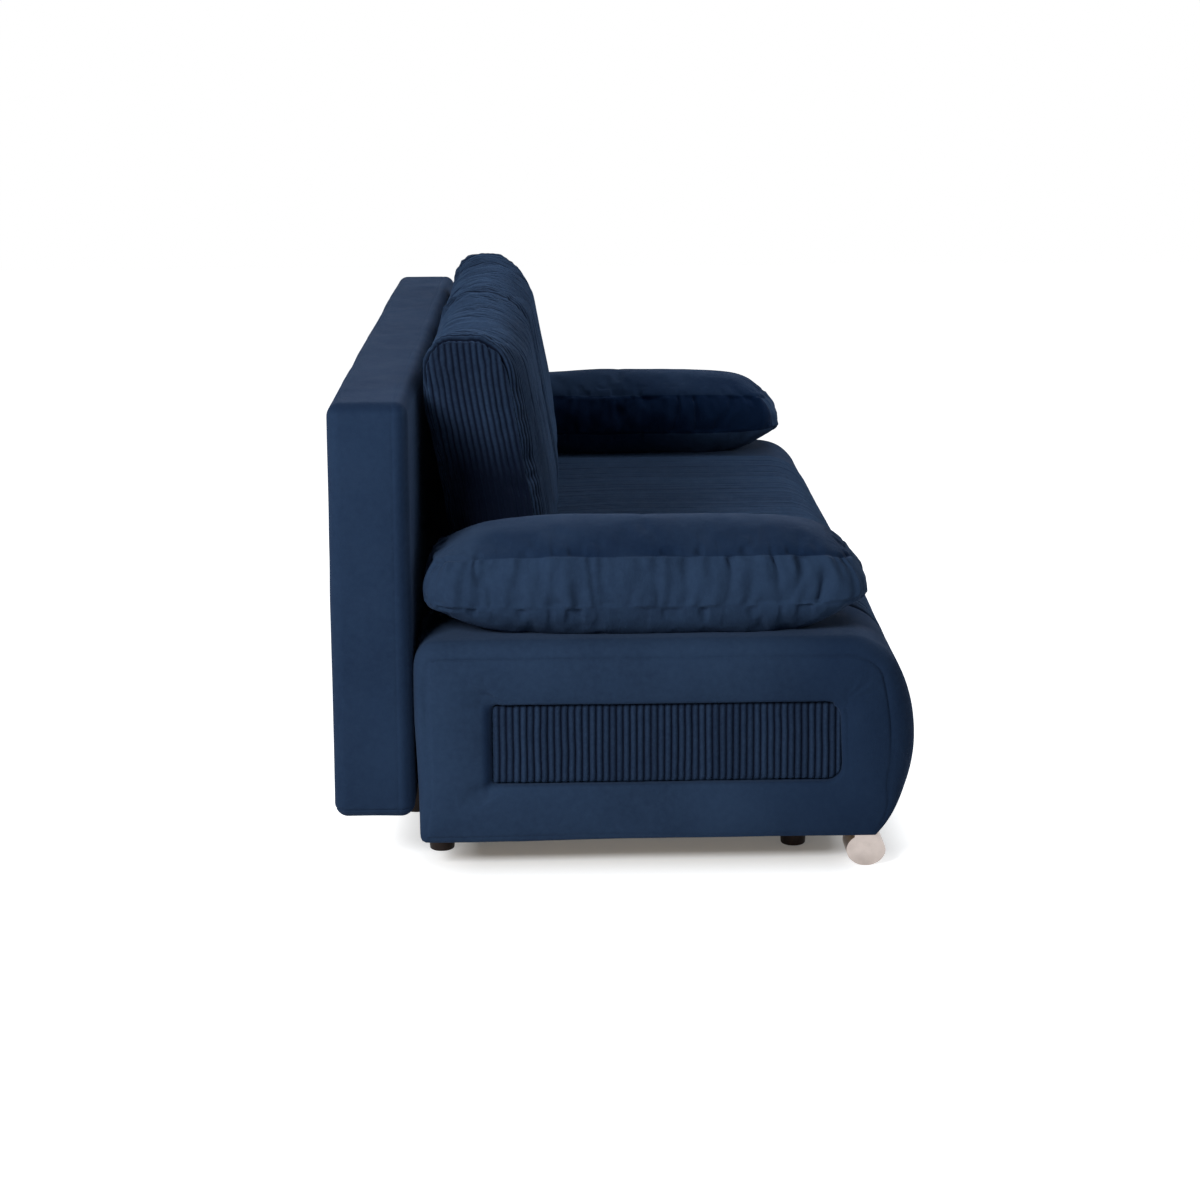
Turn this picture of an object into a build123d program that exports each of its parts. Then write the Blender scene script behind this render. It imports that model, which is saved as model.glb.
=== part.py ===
from build123d import *
import os

# A two-seat pull-out sofa bed. Millimetres, +Z up, X along the length, the front faces -Y.
# The origin is on the floor, under the middle of the sofa. "Left" is -X, as seen from the front.
# The base is pulled forward out of the rear frame. Coupled to that, a carriage lifts the back slab
# and the slab tips backward through 90 degrees until it lies level with the seat, on its own legs.

# ---------------------------------------------------------------- driving sizes

# whole sofa
sofa_length = 2000.0
sofa_depth = 1020.0
cloth_gap = 0.5            # between a soft piece and what carries it
fit_clearance = 0.05       # radial, shaft in hole

# feet
foot_height = 57.0
puck_top_radius = 26.0
puck_floor_radius = 22.0
puck_edge_radius = 3.0

# upholstered base
base_height = 355.0        # underside to the top of the end blocks
end_block_width = 265.0
bulge_height = 172.0       # widest point of the rolled front, above the underside
lower_setback = 72.0       # how far the front rolls back in, down to the underside
upper_setback = 65.0       # and up to the top
shoulder_radius = 45.0
rear_top_radius = 40.0
rear_lean = 6.0            # the rear wall's foot is this much further forward than its top
roll_over_radius = 30.0    # outer edge of an end block
seam_radius = 8.0          # inner edge of an end block, beside the seat
seat_rise = 4.0            # seat above the end blocks
seat_foam = 126.0

# recessed panel in each end
inset_front_inside = 130.0     # from the front bulge to the panel's front edge
inset_length = 613.0
inset_bottom = 98.0            # above the underside
inset_height = 144.0
inset_front_radius = 26.0
inset_rear_radius = 6.0
inset_pocket_depth = 24.0
inset_thickness = 14.0

# wooden carcass under the seat
board = 18.0
deck_thickness = 15.0
carcass_lift = 47.0            # carcass underside above the base's underside
front_roll_thickness = 43.0    # foam in front of the front board, at the underside
beam_width = 40.0
beam_height = 46.0
centre_beam_width = 30.0
end_board_thickness = 12.0
end_board_margin = 14.0

# runners and rear frame
rail_inside = 135.0            # rail's centre line inside the seat's end
rail_width = 40.0
rail_height = 34.0
rail_wall = 3.0
rail_lip = 8.0
rail_play = 0.3                # runner to rail, all round
runner_web = 12.0
frame_tube_height = 40.0
frame_tube_depth = 30.0
frame_tube_wall = 2.0
frame_overhang = 90.0          # rear tube past the rail's centre line
rear_foot_inside = 85.0        # rear foot inside the seat's end
slab_to_tube_gap = 2.0

# back slab
slab_thickness = 140.0
slab_height = 728.0
slab_floor_gap = 105.0
slab_edge_radius = 22.0
slab_corner_radius = 24.0
slab_base_gap = 2.0
front_pad_thickness = 70.0
rear_pad_thickness = 28.0
frame_inset = 8.0              # slab timber inside the pads' edge
slab_timber = 60.0
mid_stile_width = 40.0

# lift carriage and slab hinge
hinge_seat_inside = 235.0      # hinge and guide inside the seat's end
hinge_inside = 14.0            # hinge axis inside both faces of the slab's lower front edge
hinge_eye_radius = 9.0
hinge_pin_radius = 5.0
arm_width = 20.0
ear_play = 1.0
ear_thickness = 5.0
bracket_height = 42.0
guide_width = 50.0
guide_depth = 20.0
guide_wall = 3.0
guide_play = 0.3               # shoe to guide, all round
guide_slot = 24.0
guide_slab_gap = 18.0          # room behind the guides for the lift bar
shoe_height = 60.0
shoe_below_hinge = 57.0
lift_bar_radius = 5.0
lift_bar_gap = 2.0             # lift bar behind the guides

# folding legs of the slab
leg_seat_inside = 290.0        # leg inside the seat's end
leg_pivot_below_top = 88.0     # pivot axis below the slab's top
leg_pivot_inside = 22.0        # pivot axis behind the front pad
leg_width = 24.0
leg_thickness = 20.0
leg_shaft_radius = 9.0
leg_eye_radius = 12.0
leg_shoe_height = 15.0
leg_slot_play = 5.0
leg_floor_gap = 1.0

# front feet
oval_half_width = 34.5
oval_half_height = 28.3
oval_plate_thickness = 5.0
oval_length = 60.0
oval_end_inset = 6.0
oval_from_front = 88.0
oval_plate_width = 40.0

# puck feet of the base
puck_end_inset = 133.0
puck_rear_inset = 39.0
puck_front_inset = 205.0

# back cushions
back_cushion_foot_thickness = 178.0
back_cushion_top_thickness = 176.0
back_cushion_foot_lead = 58.0      # the leaning cushion's foot stands this much further forward
back_cushion_height = 486.0
back_cushion_lean_height = 330.0   # the front runs almost upright up to here
back_cushion_lean = 6.0
back_cushion_slab_gap = 8.0
back_cushion_gap = 6.0             # between the two cushions
back_cushion_overlap = 5.0         # past the seat's end, over the end block
back_cushion_low_radius = 35.0
back_cushion_top_radius = 62.0
back_cushion_end_radius = 24.0

# arm cushions
arm_cushion_length = 790.0
arm_cushion_width = 246.0
arm_cushion_height = 190.0
arm_cushion_end_inset = 4.0
arm_cushion_slab_gap = 13.0
arm_cushion_nose_radius = 74.0
arm_cushion_side_radius = 46.0

# ---------------------------------------------------------------- places worked out from them

half_length = sofa_length / 2
front_y = -sofa_depth / 2
rear_y = sofa_depth / 2

base_bottom = foot_height
block_top = base_bottom + base_height
seat_top = block_top + seat_rise
deck_top = seat_top - seat_foam
deck_bottom = deck_top - deck_thickness
carcass_bottom = base_bottom + carcass_lift
seat_half = half_length - end_block_width
rail_x = seat_half - rail_inside
rear_foot_x = seat_half - rear_foot_inside
hinge_x = seat_half - hinge_seat_inside
leg_x = seat_half - leg_seat_inside

slab_front = rear_y - slab_thickness
slab_bottom = slab_floor_gap
slab_top = slab_bottom + slab_height
base_rear_top = slab_front - slab_base_gap
base_rear_foot = base_rear_top - rear_lean

front_board_y = front_y + lower_setback + front_roll_thickness
guide_rear = slab_front - guide_slab_gap
guide_front = guide_rear - guide_depth
rear_board_y = guide_front - board

hinge_y = slab_front + hinge_inside
hinge_z = slab_bottom + hinge_inside
bed_slab_face = block_top + seat_rise / 2
lift = bed_slab_face - hinge_inside - hinge_z

core_front = slab_front + front_pad_thickness
core_rear = rear_y - rear_pad_thickness
leg_pivot_y = core_front + leg_pivot_inside
leg_pivot_height = slab_top - leg_pivot_below_top
leg_length = hinge_z + lift - (leg_pivot_y - hinge_y) - leg_floor_gap

frame_tube_front = slab_front + slab_to_tube_gap
rail_front = front_board_y + board + 12.0
runner_front = front_board_y + board + 7.0
runner_rear = guide_rear - 7.0

# ---------------------------------------------------------------- helpers


def span(centre, width):
    """The low and high limits of a width about a centre."""
    return (centre - width / 2, centre + width / 2)


def block(x_span, y_span, z_span):
    """A rectangular solid between low and high limits on each axis."""
    sizes = [high - low for low, high in (x_span, y_span, z_span)]
    corner = Pos(x_span[0], y_span[0], z_span[0])
    return corner * Box(*sizes, align=(Align.MIN, Align.MIN, Align.MIN))


def along_x(face_yz, x_span):
    """Extrude a face drawn in the YZ plane from the low to the high X limit."""
    return Pos(x_span[0], 0, 0) * extrude(face_yz, amount=x_span[1] - x_span[0])


def outline_yz(*edges):
    """A face in the YZ plane inside a closed chain of edges drawn as (y, z)."""
    return Plane.YZ * make_face(edges)


def bar_x(y, z, radius, x_span):
    """A round bar along X."""
    return along_x(Plane.YZ * (Pos(y, z) * Circle(radius)), x_span)


def rounded(face, corners):
    """Round the face's corners nearest to the given (y, z, radius) places."""
    for y, z, radius in corners:
        nearest = face.vertices().sort_by_distance((0, y, z))[0]
        face = fillet(nearest, radius)
    return face


def on_side(solid, side):
    """The solid as drawn for the right end, or its mirror image for the left."""
    return solid if side == "right" else mirror(solid, about=Plane.YZ)


def save(name, solid):
    """Write one sub-part."""
    solid.label = name
    export_step(solid, f"parts/{name}.step")
    print(f"{name:22s} {solid.volume / 1e6:9.3f} litres")


# ---------------------------------------------------------------- upholstered base


def base_section(top, rear_top, rear_foot):
    """Side view of the base: a rolled front of two tangent arcs, a flat top and a plain rear."""
    bulge = (front_y, base_bottom + bulge_height)
    low_front = (front_y + lower_setback, base_bottom)
    high_front = (front_y + upper_setback, top)
    high_rear = (rear_top, top)
    low_rear = (rear_foot, base_bottom)
    section = outline_yz(
        TangentArc(bulge, low_front, tangent=(0, -1)),
        TangentArc(bulge, high_front, tangent=(0, 1)),
        Polyline(high_front, high_rear, low_rear, low_front),
    )
    return rounded(section, [(*high_front, shoulder_radius), (*high_rear, rear_top_radius)])


def inset_outline(clearance):
    """The recessed panel's outline, shrunk by a clearance all round."""
    y_low = front_y + inset_front_inside + clearance
    y_high = front_y + inset_front_inside + inset_length - clearance
    z_low = base_bottom + inset_bottom + clearance
    z_high = base_bottom + inset_bottom + inset_height - clearance
    corners = [(y_low, z_low), (y_high, z_low), (y_high, z_high), (y_low, z_high)]
    face = outline_yz(Polyline(*corners, close=True))
    front = inset_front_radius - clearance
    rear = inset_rear_radius - clearance
    front_corners = [(y_low, z, front) for z in (z_low, z_high)]
    rear_corners = [(y_high, z, rear) for z in (z_low, z_high)]
    return rounded(face, front_corners + rear_corners)


def end_board():
    """Plywood floor of an end block, which carries its feet."""
    x_span = (seat_half + end_board_margin, half_length - end_board_margin)
    y_span = (front_y + lower_setback + end_board_margin, base_rear_foot - end_board_margin)
    return block(x_span, y_span, (base_bottom, base_bottom + end_board_thickness))


def end_block():
    """Foam and velour block at one end, with the pocket for its panel and its plywood floor."""
    section = base_section(block_top, base_rear_top, base_rear_foot)
    solid = along_x(section, (seat_half, half_length))
    rim = solid.edges().filter_by(lambda edge: edge.center().Z > base_bottom + 1)
    solid = fillet(rim.filter_by_position(Axis.X, half_length - 1, half_length + 1), roll_over_radius)
    rim = solid.edges().filter_by(lambda edge: edge.center().Z > base_bottom + 1)
    solid = fillet(rim.filter_by_position(Axis.X, seat_half - 1, seat_half + 1), seam_radius)
    solid -= along_x(inset_outline(0), (half_length - inset_pocket_depth, half_length + 1))
    return solid - end_board()


def inset_panel():
    """Ribbed panel in the end block's pocket."""
    inner = half_length - inset_pocket_depth + cloth_gap
    return along_x(inset_outline(cloth_gap), (inner, inner + inset_thickness))


def seat_body():
    """The seat's whole upholstered form between the end blocks, its rear flush with the lift guides."""
    reach = seat_half - cloth_gap
    return along_x(base_section(seat_top, guide_rear, guide_rear), (-reach, reach))


def guide_notches():
    """Room in the seat's rear edge for the two lift guides."""
    width = guide_width + 2 * cloth_gap
    y_span = (guide_front - cloth_gap, guide_rear + 1)
    return [block(span(x, width), y_span, (deck_top - 1, seat_top + 1)) for x in (-hinge_x, hinge_x)]


def seat_pad():
    """Sprung foam seat on the deck."""
    above_deck = block((-half_length, half_length), (front_y - 1, guide_rear + 1), (deck_top, seat_top + 1))
    solid = seat_body() & above_deck
    for notch in guide_notches():
        solid -= notch
    return solid


def seat_front():
    """The rolled front below the seat, against the front board."""
    below_deck = block((-half_length, half_length), (front_y - 1, front_board_y), (base_bottom - 1, deck_top))
    return seat_body() & below_deck


# ---------------------------------------------------------------- carcass


def carcass():
    """The wooden box under the seat, as separate boards and beams."""
    inside = seat_half - cloth_gap
    board_front = front_board_y + board
    between = (board_front, rear_board_y)
    boards = {
        "front_board": block((-inside, inside), (front_board_y, board_front), (base_bottom, deck_bottom)),
        "rear_board": block((-inside, inside), (rear_board_y, guide_front), (carcass_bottom, deck_bottom)),
        "seat_deck": block((-inside, inside), (front_board_y, guide_front), (deck_bottom, deck_top)),
        "centre_beam": block(span(0, centre_beam_width), between, (carcass_bottom, deck_bottom)),
    }
    for side in ("left", "right"):
        cheek = block((inside - board, inside), between, (carcass_bottom, deck_bottom))
        beam = block(span(rail_x, beam_width), between, (carcass_bottom, carcass_bottom + beam_height))
        boards[f"carcass_side_{side}"] = on_side(cheek, side)
        boards[f"runner_beam_{side}"] = on_side(beam, side)
    return boards


# ---------------------------------------------------------------- runners and rear frame


def outer_rail():
    """Lipped channel, open upward, that guides the base's runner."""
    y_span = (rail_front, frame_tube_front)
    z_span = (base_bottom, base_bottom + rail_height)
    hollow_z = (z_span[0] + rail_wall, z_span[1] - rail_wall)
    solid = block(span(rail_x, rail_width), y_span, z_span)
    solid -= block(span(rail_x, rail_width - 2 * rail_wall), y_span, hollow_z)
    slot = rail_width - 2 * rail_wall - 2 * rail_lip
    return solid - block(span(rail_x, slot), y_span, (hollow_z[1] - 1, z_span[1] + 1))


def runner():
    """T-shaped runner under the base: a foot inside the outer rail and a web up to the beam."""
    y_span = (runner_front, runner_rear)
    foot_z = (base_bottom + rail_wall + rail_play, base_bottom + rail_height - rail_wall - rail_play)
    foot = block(span(rail_x, rail_width - 2 * rail_wall - 2 * rail_play), y_span, foot_z)
    return foot + block(span(rail_x, runner_web), y_span, (foot_z[0], carcass_bottom))


def puck(x, y, height):
    """Turned foot, a little narrower at the floor."""
    cone = Cone(puck_floor_radius, puck_top_radius, height, align=(Align.CENTER, Align.CENTER, Align.MIN))
    cone = fillet(cone.edges().group_by(Axis.Z)[0], puck_edge_radius)
    return Pos(x, y, 0) * cone


def box_tube(x_span, y_span, z_span):
    """Rectangular steel tube along X, open at both ends."""
    hollow_y = (y_span[0] + frame_tube_wall, y_span[1] - frame_tube_wall)
    hollow_z = (z_span[0] + frame_tube_wall, z_span[1] - frame_tube_wall)
    return block(x_span, y_span, z_span) - block((x_span[0] - 1, x_span[1] + 1), hollow_y, hollow_z)


def rear_frame():
    """The low frame that stays at the wall, with its four feet."""
    tube_y = (frame_tube_front, frame_tube_front + frame_tube_depth)
    reach = rail_x + frame_overhang
    inner = rail_x - rail_width / 2
    cross_y = (rail_front, rail_front + frame_tube_depth)
    pieces = {
        "frame_rear_tube": box_tube((-reach, reach), tube_y, (base_bottom, base_bottom + frame_tube_height)),
        "frame_front_tube": box_tube((-inner, inner), cross_y, (base_bottom, base_bottom + rail_height)),
    }
    for side in ("left", "right"):
        pieces[f"frame_rail_{side}"] = on_side(outer_rail(), side)
        rear_foot = puck(rear_foot_x, sum(tube_y) / 2, foot_height)
        front_foot = puck(rail_x, rail_front + puck_top_radius, foot_height)
        pieces[f"frame_rear_foot_{side}"] = on_side(rear_foot, side)
        pieces[f"frame_front_foot_{side}"] = on_side(front_foot, side)
    return pieces


# ---------------------------------------------------------------- feet of the base


def oval_centre_y():
    """Middle of the front foot, front to back."""
    return front_y + oval_from_front


def oval_foot():
    """Oval metal foot lying along X, flat on top."""
    oval = Plane.YZ * (Pos(oval_centre_y(), oval_half_height) * Ellipse(oval_half_width, oval_half_height))
    x_high = half_length - oval_end_inset
    x_span = (x_high - oval_length, x_high)
    solid = along_x(oval, x_span)
    top = block((x_span[0] - 1, x_high + 1), span(oval_centre_y(), 2 * oval_half_width),
                (foot_height - oval_plate_thickness, 2 * oval_half_height + 1))
    return solid - top


def oval_plate():
    """Screw plate between the front foot and the base."""
    x_high = half_length - oval_end_inset
    z_span = (foot_height - oval_plate_thickness, foot_height)
    return block((x_high - oval_length, x_high), span(oval_centre_y(), oval_plate_width), z_span)


# ---------------------------------------------------------------- back slab


def slab_pad(y_span, outer_face):
    """One cushioned face of the slab, rounded all round its outer face."""
    solid = block((-half_length, half_length), y_span, (slab_bottom, slab_top))
    solid = fillet(solid.edges().filter_by(Axis.Y), slab_corner_radius)
    rim = solid.edges().filter_by_position(Axis.Y, outer_face - 1, outer_face + 1)
    return fillet(rim, slab_edge_radius)


def slab_front_pad():
    """Front face of the slab, with room for the two hinges in its lower edge."""
    solid = slab_pad((slab_front, core_front), slab_front)
    width = arm_width + 2 * (ear_play + ear_thickness + ear_play)
    for x in (-hinge_x, hinge_x):
        solid -= block(span(x, width), (slab_front - 1, core_front + 1),
                       (slab_bottom - 1, slab_bottom + bracket_height + ear_play))
    return solid


def slab_rear_pad():
    """Rear face of the slab, slotted so that the legs can swing out."""
    solid = slab_pad((core_rear, rear_y), rear_y)
    slot_width = leg_width + 2 * leg_slot_play
    top = leg_pivot_height + leg_eye_radius + leg_slot_play
    bottom = leg_pivot_height - leg_length - leg_slot_play
    for x in (-leg_x, leg_x):
        solid -= block(span(x, slot_width), (core_rear - 1, rear_y + 1), (bottom, top))
    return solid


def slab_frame():
    """Timber frame between the slab's two pads, as separate rails and stiles."""
    core = (core_front, core_rear)
    reach = half_length - frame_inset
    inner = reach - slab_timber
    z_low = slab_bottom + frame_inset
    z_high = slab_top - frame_inset
    inside_z = (z_low + slab_timber, z_high - slab_timber)
    pieces = {
        "slab_bottom_rail": block((-inner, inner), core, (z_low, inside_z[0])),
        "slab_top_rail": block((-inner, inner), core, (inside_z[1], z_high)),
    }
    mid_stile = block(span(hinge_x, mid_stile_width), core, inside_z)
    mid_stile -= bar_x(leg_pivot_y, leg_pivot_height, leg_shaft_radius + fit_clearance,
                       span(hinge_x, mid_stile_width + 2))
    for side in ("left", "right"):
        pieces[f"slab_end_stile_{side}"] = on_side(block((inner, reach), core, (z_low, z_high)), side)
        pieces[f"slab_mid_stile_{side}"] = on_side(mid_stile, side)
    return pieces


def hinge_bracket():
    """U-shaped bracket on the slab's bottom rail, whose two ears hold the hinge pin."""
    z_low = hinge_z - hinge_eye_radius
    z_high = slab_bottom + bracket_height
    ear = outline_yz(Polyline((hinge_y, z_low), (core_front, z_low), (core_front, z_high),
                              (hinge_y, hinge_z + hinge_eye_radius), close=True))
    ear += Plane.YZ * (Pos(hinge_y, hinge_z) * Circle(hinge_eye_radius))
    inner = arm_width + 2 * ear_play
    outer = inner + 2 * ear_thickness
    solid = along_x(ear, span(hinge_x, outer))
    gap_y = (slab_front - 1, core_front - ear_thickness)
    solid -= block(span(hinge_x, inner), gap_y, (slab_bottom - 1, z_high + 1))
    return solid - bar_x(hinge_y, hinge_z, hinge_pin_radius + fit_clearance, span(hinge_x, outer + 2))


def hinge_pin():
    """Pin through the bracket's ears and the carriage arm."""
    outer = arm_width + 2 * (ear_play + ear_thickness)
    return bar_x(hinge_y, hinge_z, hinge_pin_radius, span(hinge_x, outer))


# ---------------------------------------------------------------- lift carriage


def lift_bar_y():
    """Axis of the bar that ties the two sliders, just behind the guides."""
    return guide_rear + lift_bar_gap + lift_bar_radius


def lift_guide():
    """Lipped channel, open to the rear, fixed upright on the base's rear board."""
    bottom = hinge_z - shoe_below_hinge
    z_span = (bottom, bottom + shoe_height + lift)
    solid = block(span(hinge_x, guide_width), (guide_front, guide_rear), z_span)
    hollow = (guide_front + guide_wall, guide_rear - guide_wall)
    cut_z = (z_span[0] - 1, z_span[1] + 1)
    solid -= block(span(hinge_x, guide_width - 2 * guide_wall), hollow, cut_z)
    return solid - block(span(hinge_x, guide_slot), (hollow[1] - 1, guide_rear + 1), cut_z)


def slider():
    """Shoe that runs in the guide, with the arm and eye that carry the slab."""
    shoe_y = (guide_front + guide_wall + guide_play, guide_rear - guide_wall - guide_play)
    shoe_width = guide_width - 2 * guide_wall - 2 * guide_play
    bottom = hinge_z - shoe_below_hinge
    shoe = block(span(hinge_x, shoe_width), shoe_y, (bottom, bottom + shoe_height))
    arm_z = (hinge_z - hinge_eye_radius, min(hinge_z + hinge_eye_radius, bottom + shoe_height))
    arm = block(span(hinge_x, arm_width), (shoe_y[1], hinge_y), arm_z)
    eye = bar_x(hinge_y, hinge_z, hinge_eye_radius, span(hinge_x, arm_width))
    hole_span = span(hinge_x, arm_width + 2)
    solid = shoe + arm + eye
    solid -= bar_x(hinge_y, hinge_z, hinge_pin_radius + fit_clearance, hole_span)
    return solid - bar_x(lift_bar_y(), hinge_z, lift_bar_radius + fit_clearance, hole_span)


def lift_bar():
    """Bar through both arms, so that the slab rises evenly."""
    reach = hinge_x + arm_width / 2
    return bar_x(lift_bar_y(), hinge_z, lift_bar_radius, (-reach, reach))


# ---------------------------------------------------------------- folding legs


def leg_bar():
    """Steel leg that hangs from the leg shaft."""
    z_low = leg_pivot_height - leg_length + leg_shoe_height
    solid = block(span(leg_x, leg_width), span(leg_pivot_y, leg_thickness), (z_low, leg_pivot_height))
    solid += bar_x(leg_pivot_y, leg_pivot_height, leg_eye_radius, span(leg_x, leg_width))
    hole = bar_x(leg_pivot_y, leg_pivot_height, leg_shaft_radius + fit_clearance, span(leg_x, leg_width + 2))
    return solid - hole


def leg_shoe():
    """Rubber shoe under a leg."""
    z_low = leg_pivot_height - leg_length
    return block(span(leg_x, leg_width), span(leg_pivot_y, leg_thickness), (z_low, z_low + leg_shoe_height))


def leg_shaft():
    """Shaft that turns both legs together, in the slab's middle stiles."""
    reach = hinge_x + mid_stile_width / 2
    return bar_x(leg_pivot_y, leg_pivot_height, leg_shaft_radius, (-reach, reach))


# ---------------------------------------------------------------- loose cushions


def back_cushion():
    """Seat-back cushion that leans on the slab, with a round top."""
    rear = slab_front - back_cushion_slab_gap
    rear_foot = rear - back_cushion_foot_lead
    front = rear_foot - back_cushion_foot_thickness
    bottom = seat_top + cloth_gap
    top = bottom + back_cushion_height
    low_front = (front, bottom)
    knee = (front + back_cushion_lean, bottom + back_cushion_lean_height)
    high_front = (rear - back_cushion_top_thickness, top)
    corners = [low_front, knee, high_front, (rear, top), (rear_foot, bottom)]
    face = outline_yz(Polyline(*corners, close=True))
    face = rounded(face, [
        (*low_front, back_cushion_low_radius),
        (*high_front, back_cushion_top_radius),
        (rear, top, back_cushion_top_radius),
        (rear_foot, bottom, back_cushion_low_radius),
        (*knee, 2 * back_cushion_top_radius),
    ])
    x_span = (back_cushion_gap / 2, seat_half + back_cushion_overlap)
    solid = along_x(face, x_span)
    for x in x_span:
        solid = fillet(solid.edges().filter_by_position(Axis.X, x - 1, x + 1), back_cushion_end_radius)
    return solid


def arm_cushion():
    """Long loose cushion on an end block, with round noses and crowned faces."""
    rear = slab_front - arm_cushion_slab_gap
    bottom = block_top + cloth_gap
    top = bottom + arm_cushion_height
    front = rear - arm_cushion_length
    corners = [(front, bottom), (front, top), (rear, top), (rear, bottom)]
    face = outline_yz(Polyline(*corners, close=True))
    face = rounded(face, [(*corner, arm_cushion_nose_radius) for corner in corners])
    outer = half_length - arm_cushion_end_inset
    x_span = (outer - arm_cushion_width, outer)
    solid = along_x(face, x_span)
    for x in x_span:
        solid = fillet(solid.edges().filter_by_position(Axis.X, x - 1, x + 1), arm_cushion_side_radius)
    return solid


# ---------------------------------------------------------------- write every sub-part


def sided_parts():
    """Pieces drawn once for the right end and mirrored for the left."""
    foot_x = half_length - puck_end_inset
    return {
        "end_block": end_block(),
        "end_board": end_board(),
        "inset_panel": inset_panel(),
        "runner": runner(),
        "base_rear_foot": puck(foot_x, base_rear_top - puck_rear_inset, foot_height),
        "base_front_foot": puck(foot_x, front_y + puck_front_inset, foot_height),
        "oval_foot": oval_foot(),
        "oval_foot_plate": oval_plate(),
        "lift_guide": lift_guide(),
        "lift_slider": slider(),
        "hinge_bracket": hinge_bracket(),
        "hinge_pin": hinge_pin(),
        "leg_bar": leg_bar(),
        "leg_shoe": leg_shoe(),
        "back_cushion": back_cushion(),
        "arm_cushion": arm_cushion(),
    }


def main():
    """Build and write every sub-part."""
    os.makedirs("parts", exist_ok=True)
    parts = {
        "seat_pad": seat_pad(),
        "seat_front": seat_front(),
        "slab_front_pad": slab_front_pad(),
        "slab_rear_pad": slab_rear_pad(),
        "lift_bar": lift_bar(),
        "leg_shaft": leg_shaft(),
    }
    parts.update(carcass())
    parts.update(rear_frame())
    parts.update(slab_frame())
    for name, solid in sided_parts().items():
        for side in ("left", "right"):
            parts[f"{name}_{side}"] = on_side(solid, side)
    for name, solid in parts.items():
        save(name, solid)
    print(f"{len(parts)} sub-parts, slab lift {lift:.1f}, leg length {leg_length:.1f}")


main()
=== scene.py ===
# %% [markdown]
# # A pull-out sofa bed in blue velour and corduroy
#
# This lesson dresses a finished mechanical model. Boards, rails, hinges and feet already exist
# and only need a finish. Everything soft is built here: the padded back slab, the two end blocks
# with their ribbed panels, the sprung seat, two loose back cushions and two loose arm cushions.
#
# All lengths are in metres. X runs along the sofa, its front faces -Y, and Z is up.

# %% The frame
import math

import bmesh
import bpy
import numpy as np
from mathutils import Matrix, Vector


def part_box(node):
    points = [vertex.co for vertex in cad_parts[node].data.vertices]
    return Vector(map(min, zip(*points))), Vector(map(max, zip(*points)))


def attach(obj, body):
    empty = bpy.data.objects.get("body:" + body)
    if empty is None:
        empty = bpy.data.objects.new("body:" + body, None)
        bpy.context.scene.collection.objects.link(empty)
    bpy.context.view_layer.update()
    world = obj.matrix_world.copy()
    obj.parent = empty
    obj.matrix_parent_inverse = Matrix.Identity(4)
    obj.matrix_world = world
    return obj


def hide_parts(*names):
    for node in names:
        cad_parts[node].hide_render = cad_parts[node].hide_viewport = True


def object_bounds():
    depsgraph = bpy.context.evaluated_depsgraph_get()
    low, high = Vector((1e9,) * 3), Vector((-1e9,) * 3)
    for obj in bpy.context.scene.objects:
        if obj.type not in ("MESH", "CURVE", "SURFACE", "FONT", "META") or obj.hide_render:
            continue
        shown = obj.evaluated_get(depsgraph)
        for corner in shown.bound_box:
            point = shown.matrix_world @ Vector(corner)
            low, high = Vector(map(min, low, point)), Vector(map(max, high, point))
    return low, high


def short(values):
    """Numbers rounded for printing."""
    return [round(value, 3) for value in values]


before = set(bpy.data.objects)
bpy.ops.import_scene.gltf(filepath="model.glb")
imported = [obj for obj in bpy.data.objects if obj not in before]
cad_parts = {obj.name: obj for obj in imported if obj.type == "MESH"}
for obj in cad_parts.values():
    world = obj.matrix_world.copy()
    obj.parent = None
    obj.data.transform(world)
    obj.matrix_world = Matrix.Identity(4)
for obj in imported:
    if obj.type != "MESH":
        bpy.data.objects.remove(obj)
cad_low, cad_high = [list(corner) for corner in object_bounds()]
print("CAD box from", short(cad_low), "to", short(cad_high))

# %% [markdown]
# ## The camera
#
# The sofa is seen end-on from a little above its own height, so that the near end fills the view
# and the far end shrinks behind it. A long lens far away would flatten this, and a short one close
# by would stretch it. The lens is shifted down a little, as a view camera's is, which keeps upright
# edges upright.

# %% The camera
camera_distance = 4.135            # from the sofa's near end
camera_depth_place = 0.113
camera_height = 1.505
camera_pitch = math.radians(8.256)
camera_yaw = math.radians(-1.934)
camera_roll = math.radians(-0.222)

forward = Vector((
    math.cos(camera_pitch) * math.cos(camera_yaw),
    math.cos(camera_pitch) * math.sin(camera_yaw),
    -math.sin(camera_pitch),
))
level_right = forward.cross(Vector((0, 0, 1))).normalized()
level_up = level_right.cross(forward)
right = level_right * math.cos(camera_roll) + level_up * math.sin(camera_roll)
up = level_up * math.cos(camera_roll) - level_right * math.sin(camera_roll)

camera_data = bpy.data.cameras.new("camera")
camera_data.lens = 73.65
camera_data.sensor_width = 36.0
camera_data.shift_x = -0.0333
camera_data.shift_y = -0.2
camera = bpy.data.objects.new("camera", camera_data)
camera.matrix_world = Matrix((right, up, -forward)).transposed().to_4x4()
camera.location = (cad_low[0] - camera_distance, camera_depth_place, camera_height)
bpy.context.scene.collection.objects.link(camera)
bpy.context.scene.camera = camera
bpy.context.scene.view_settings.view_transform = "Standard"
print("camera at", short(camera.location))

# %% [markdown]
# ## Helpers for shader nodes
#
# Every finish is a small graph of shader nodes that reads the place on the object in metres, so
# a grain of half a millimetre is half a millimetre on every piece.

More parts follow.
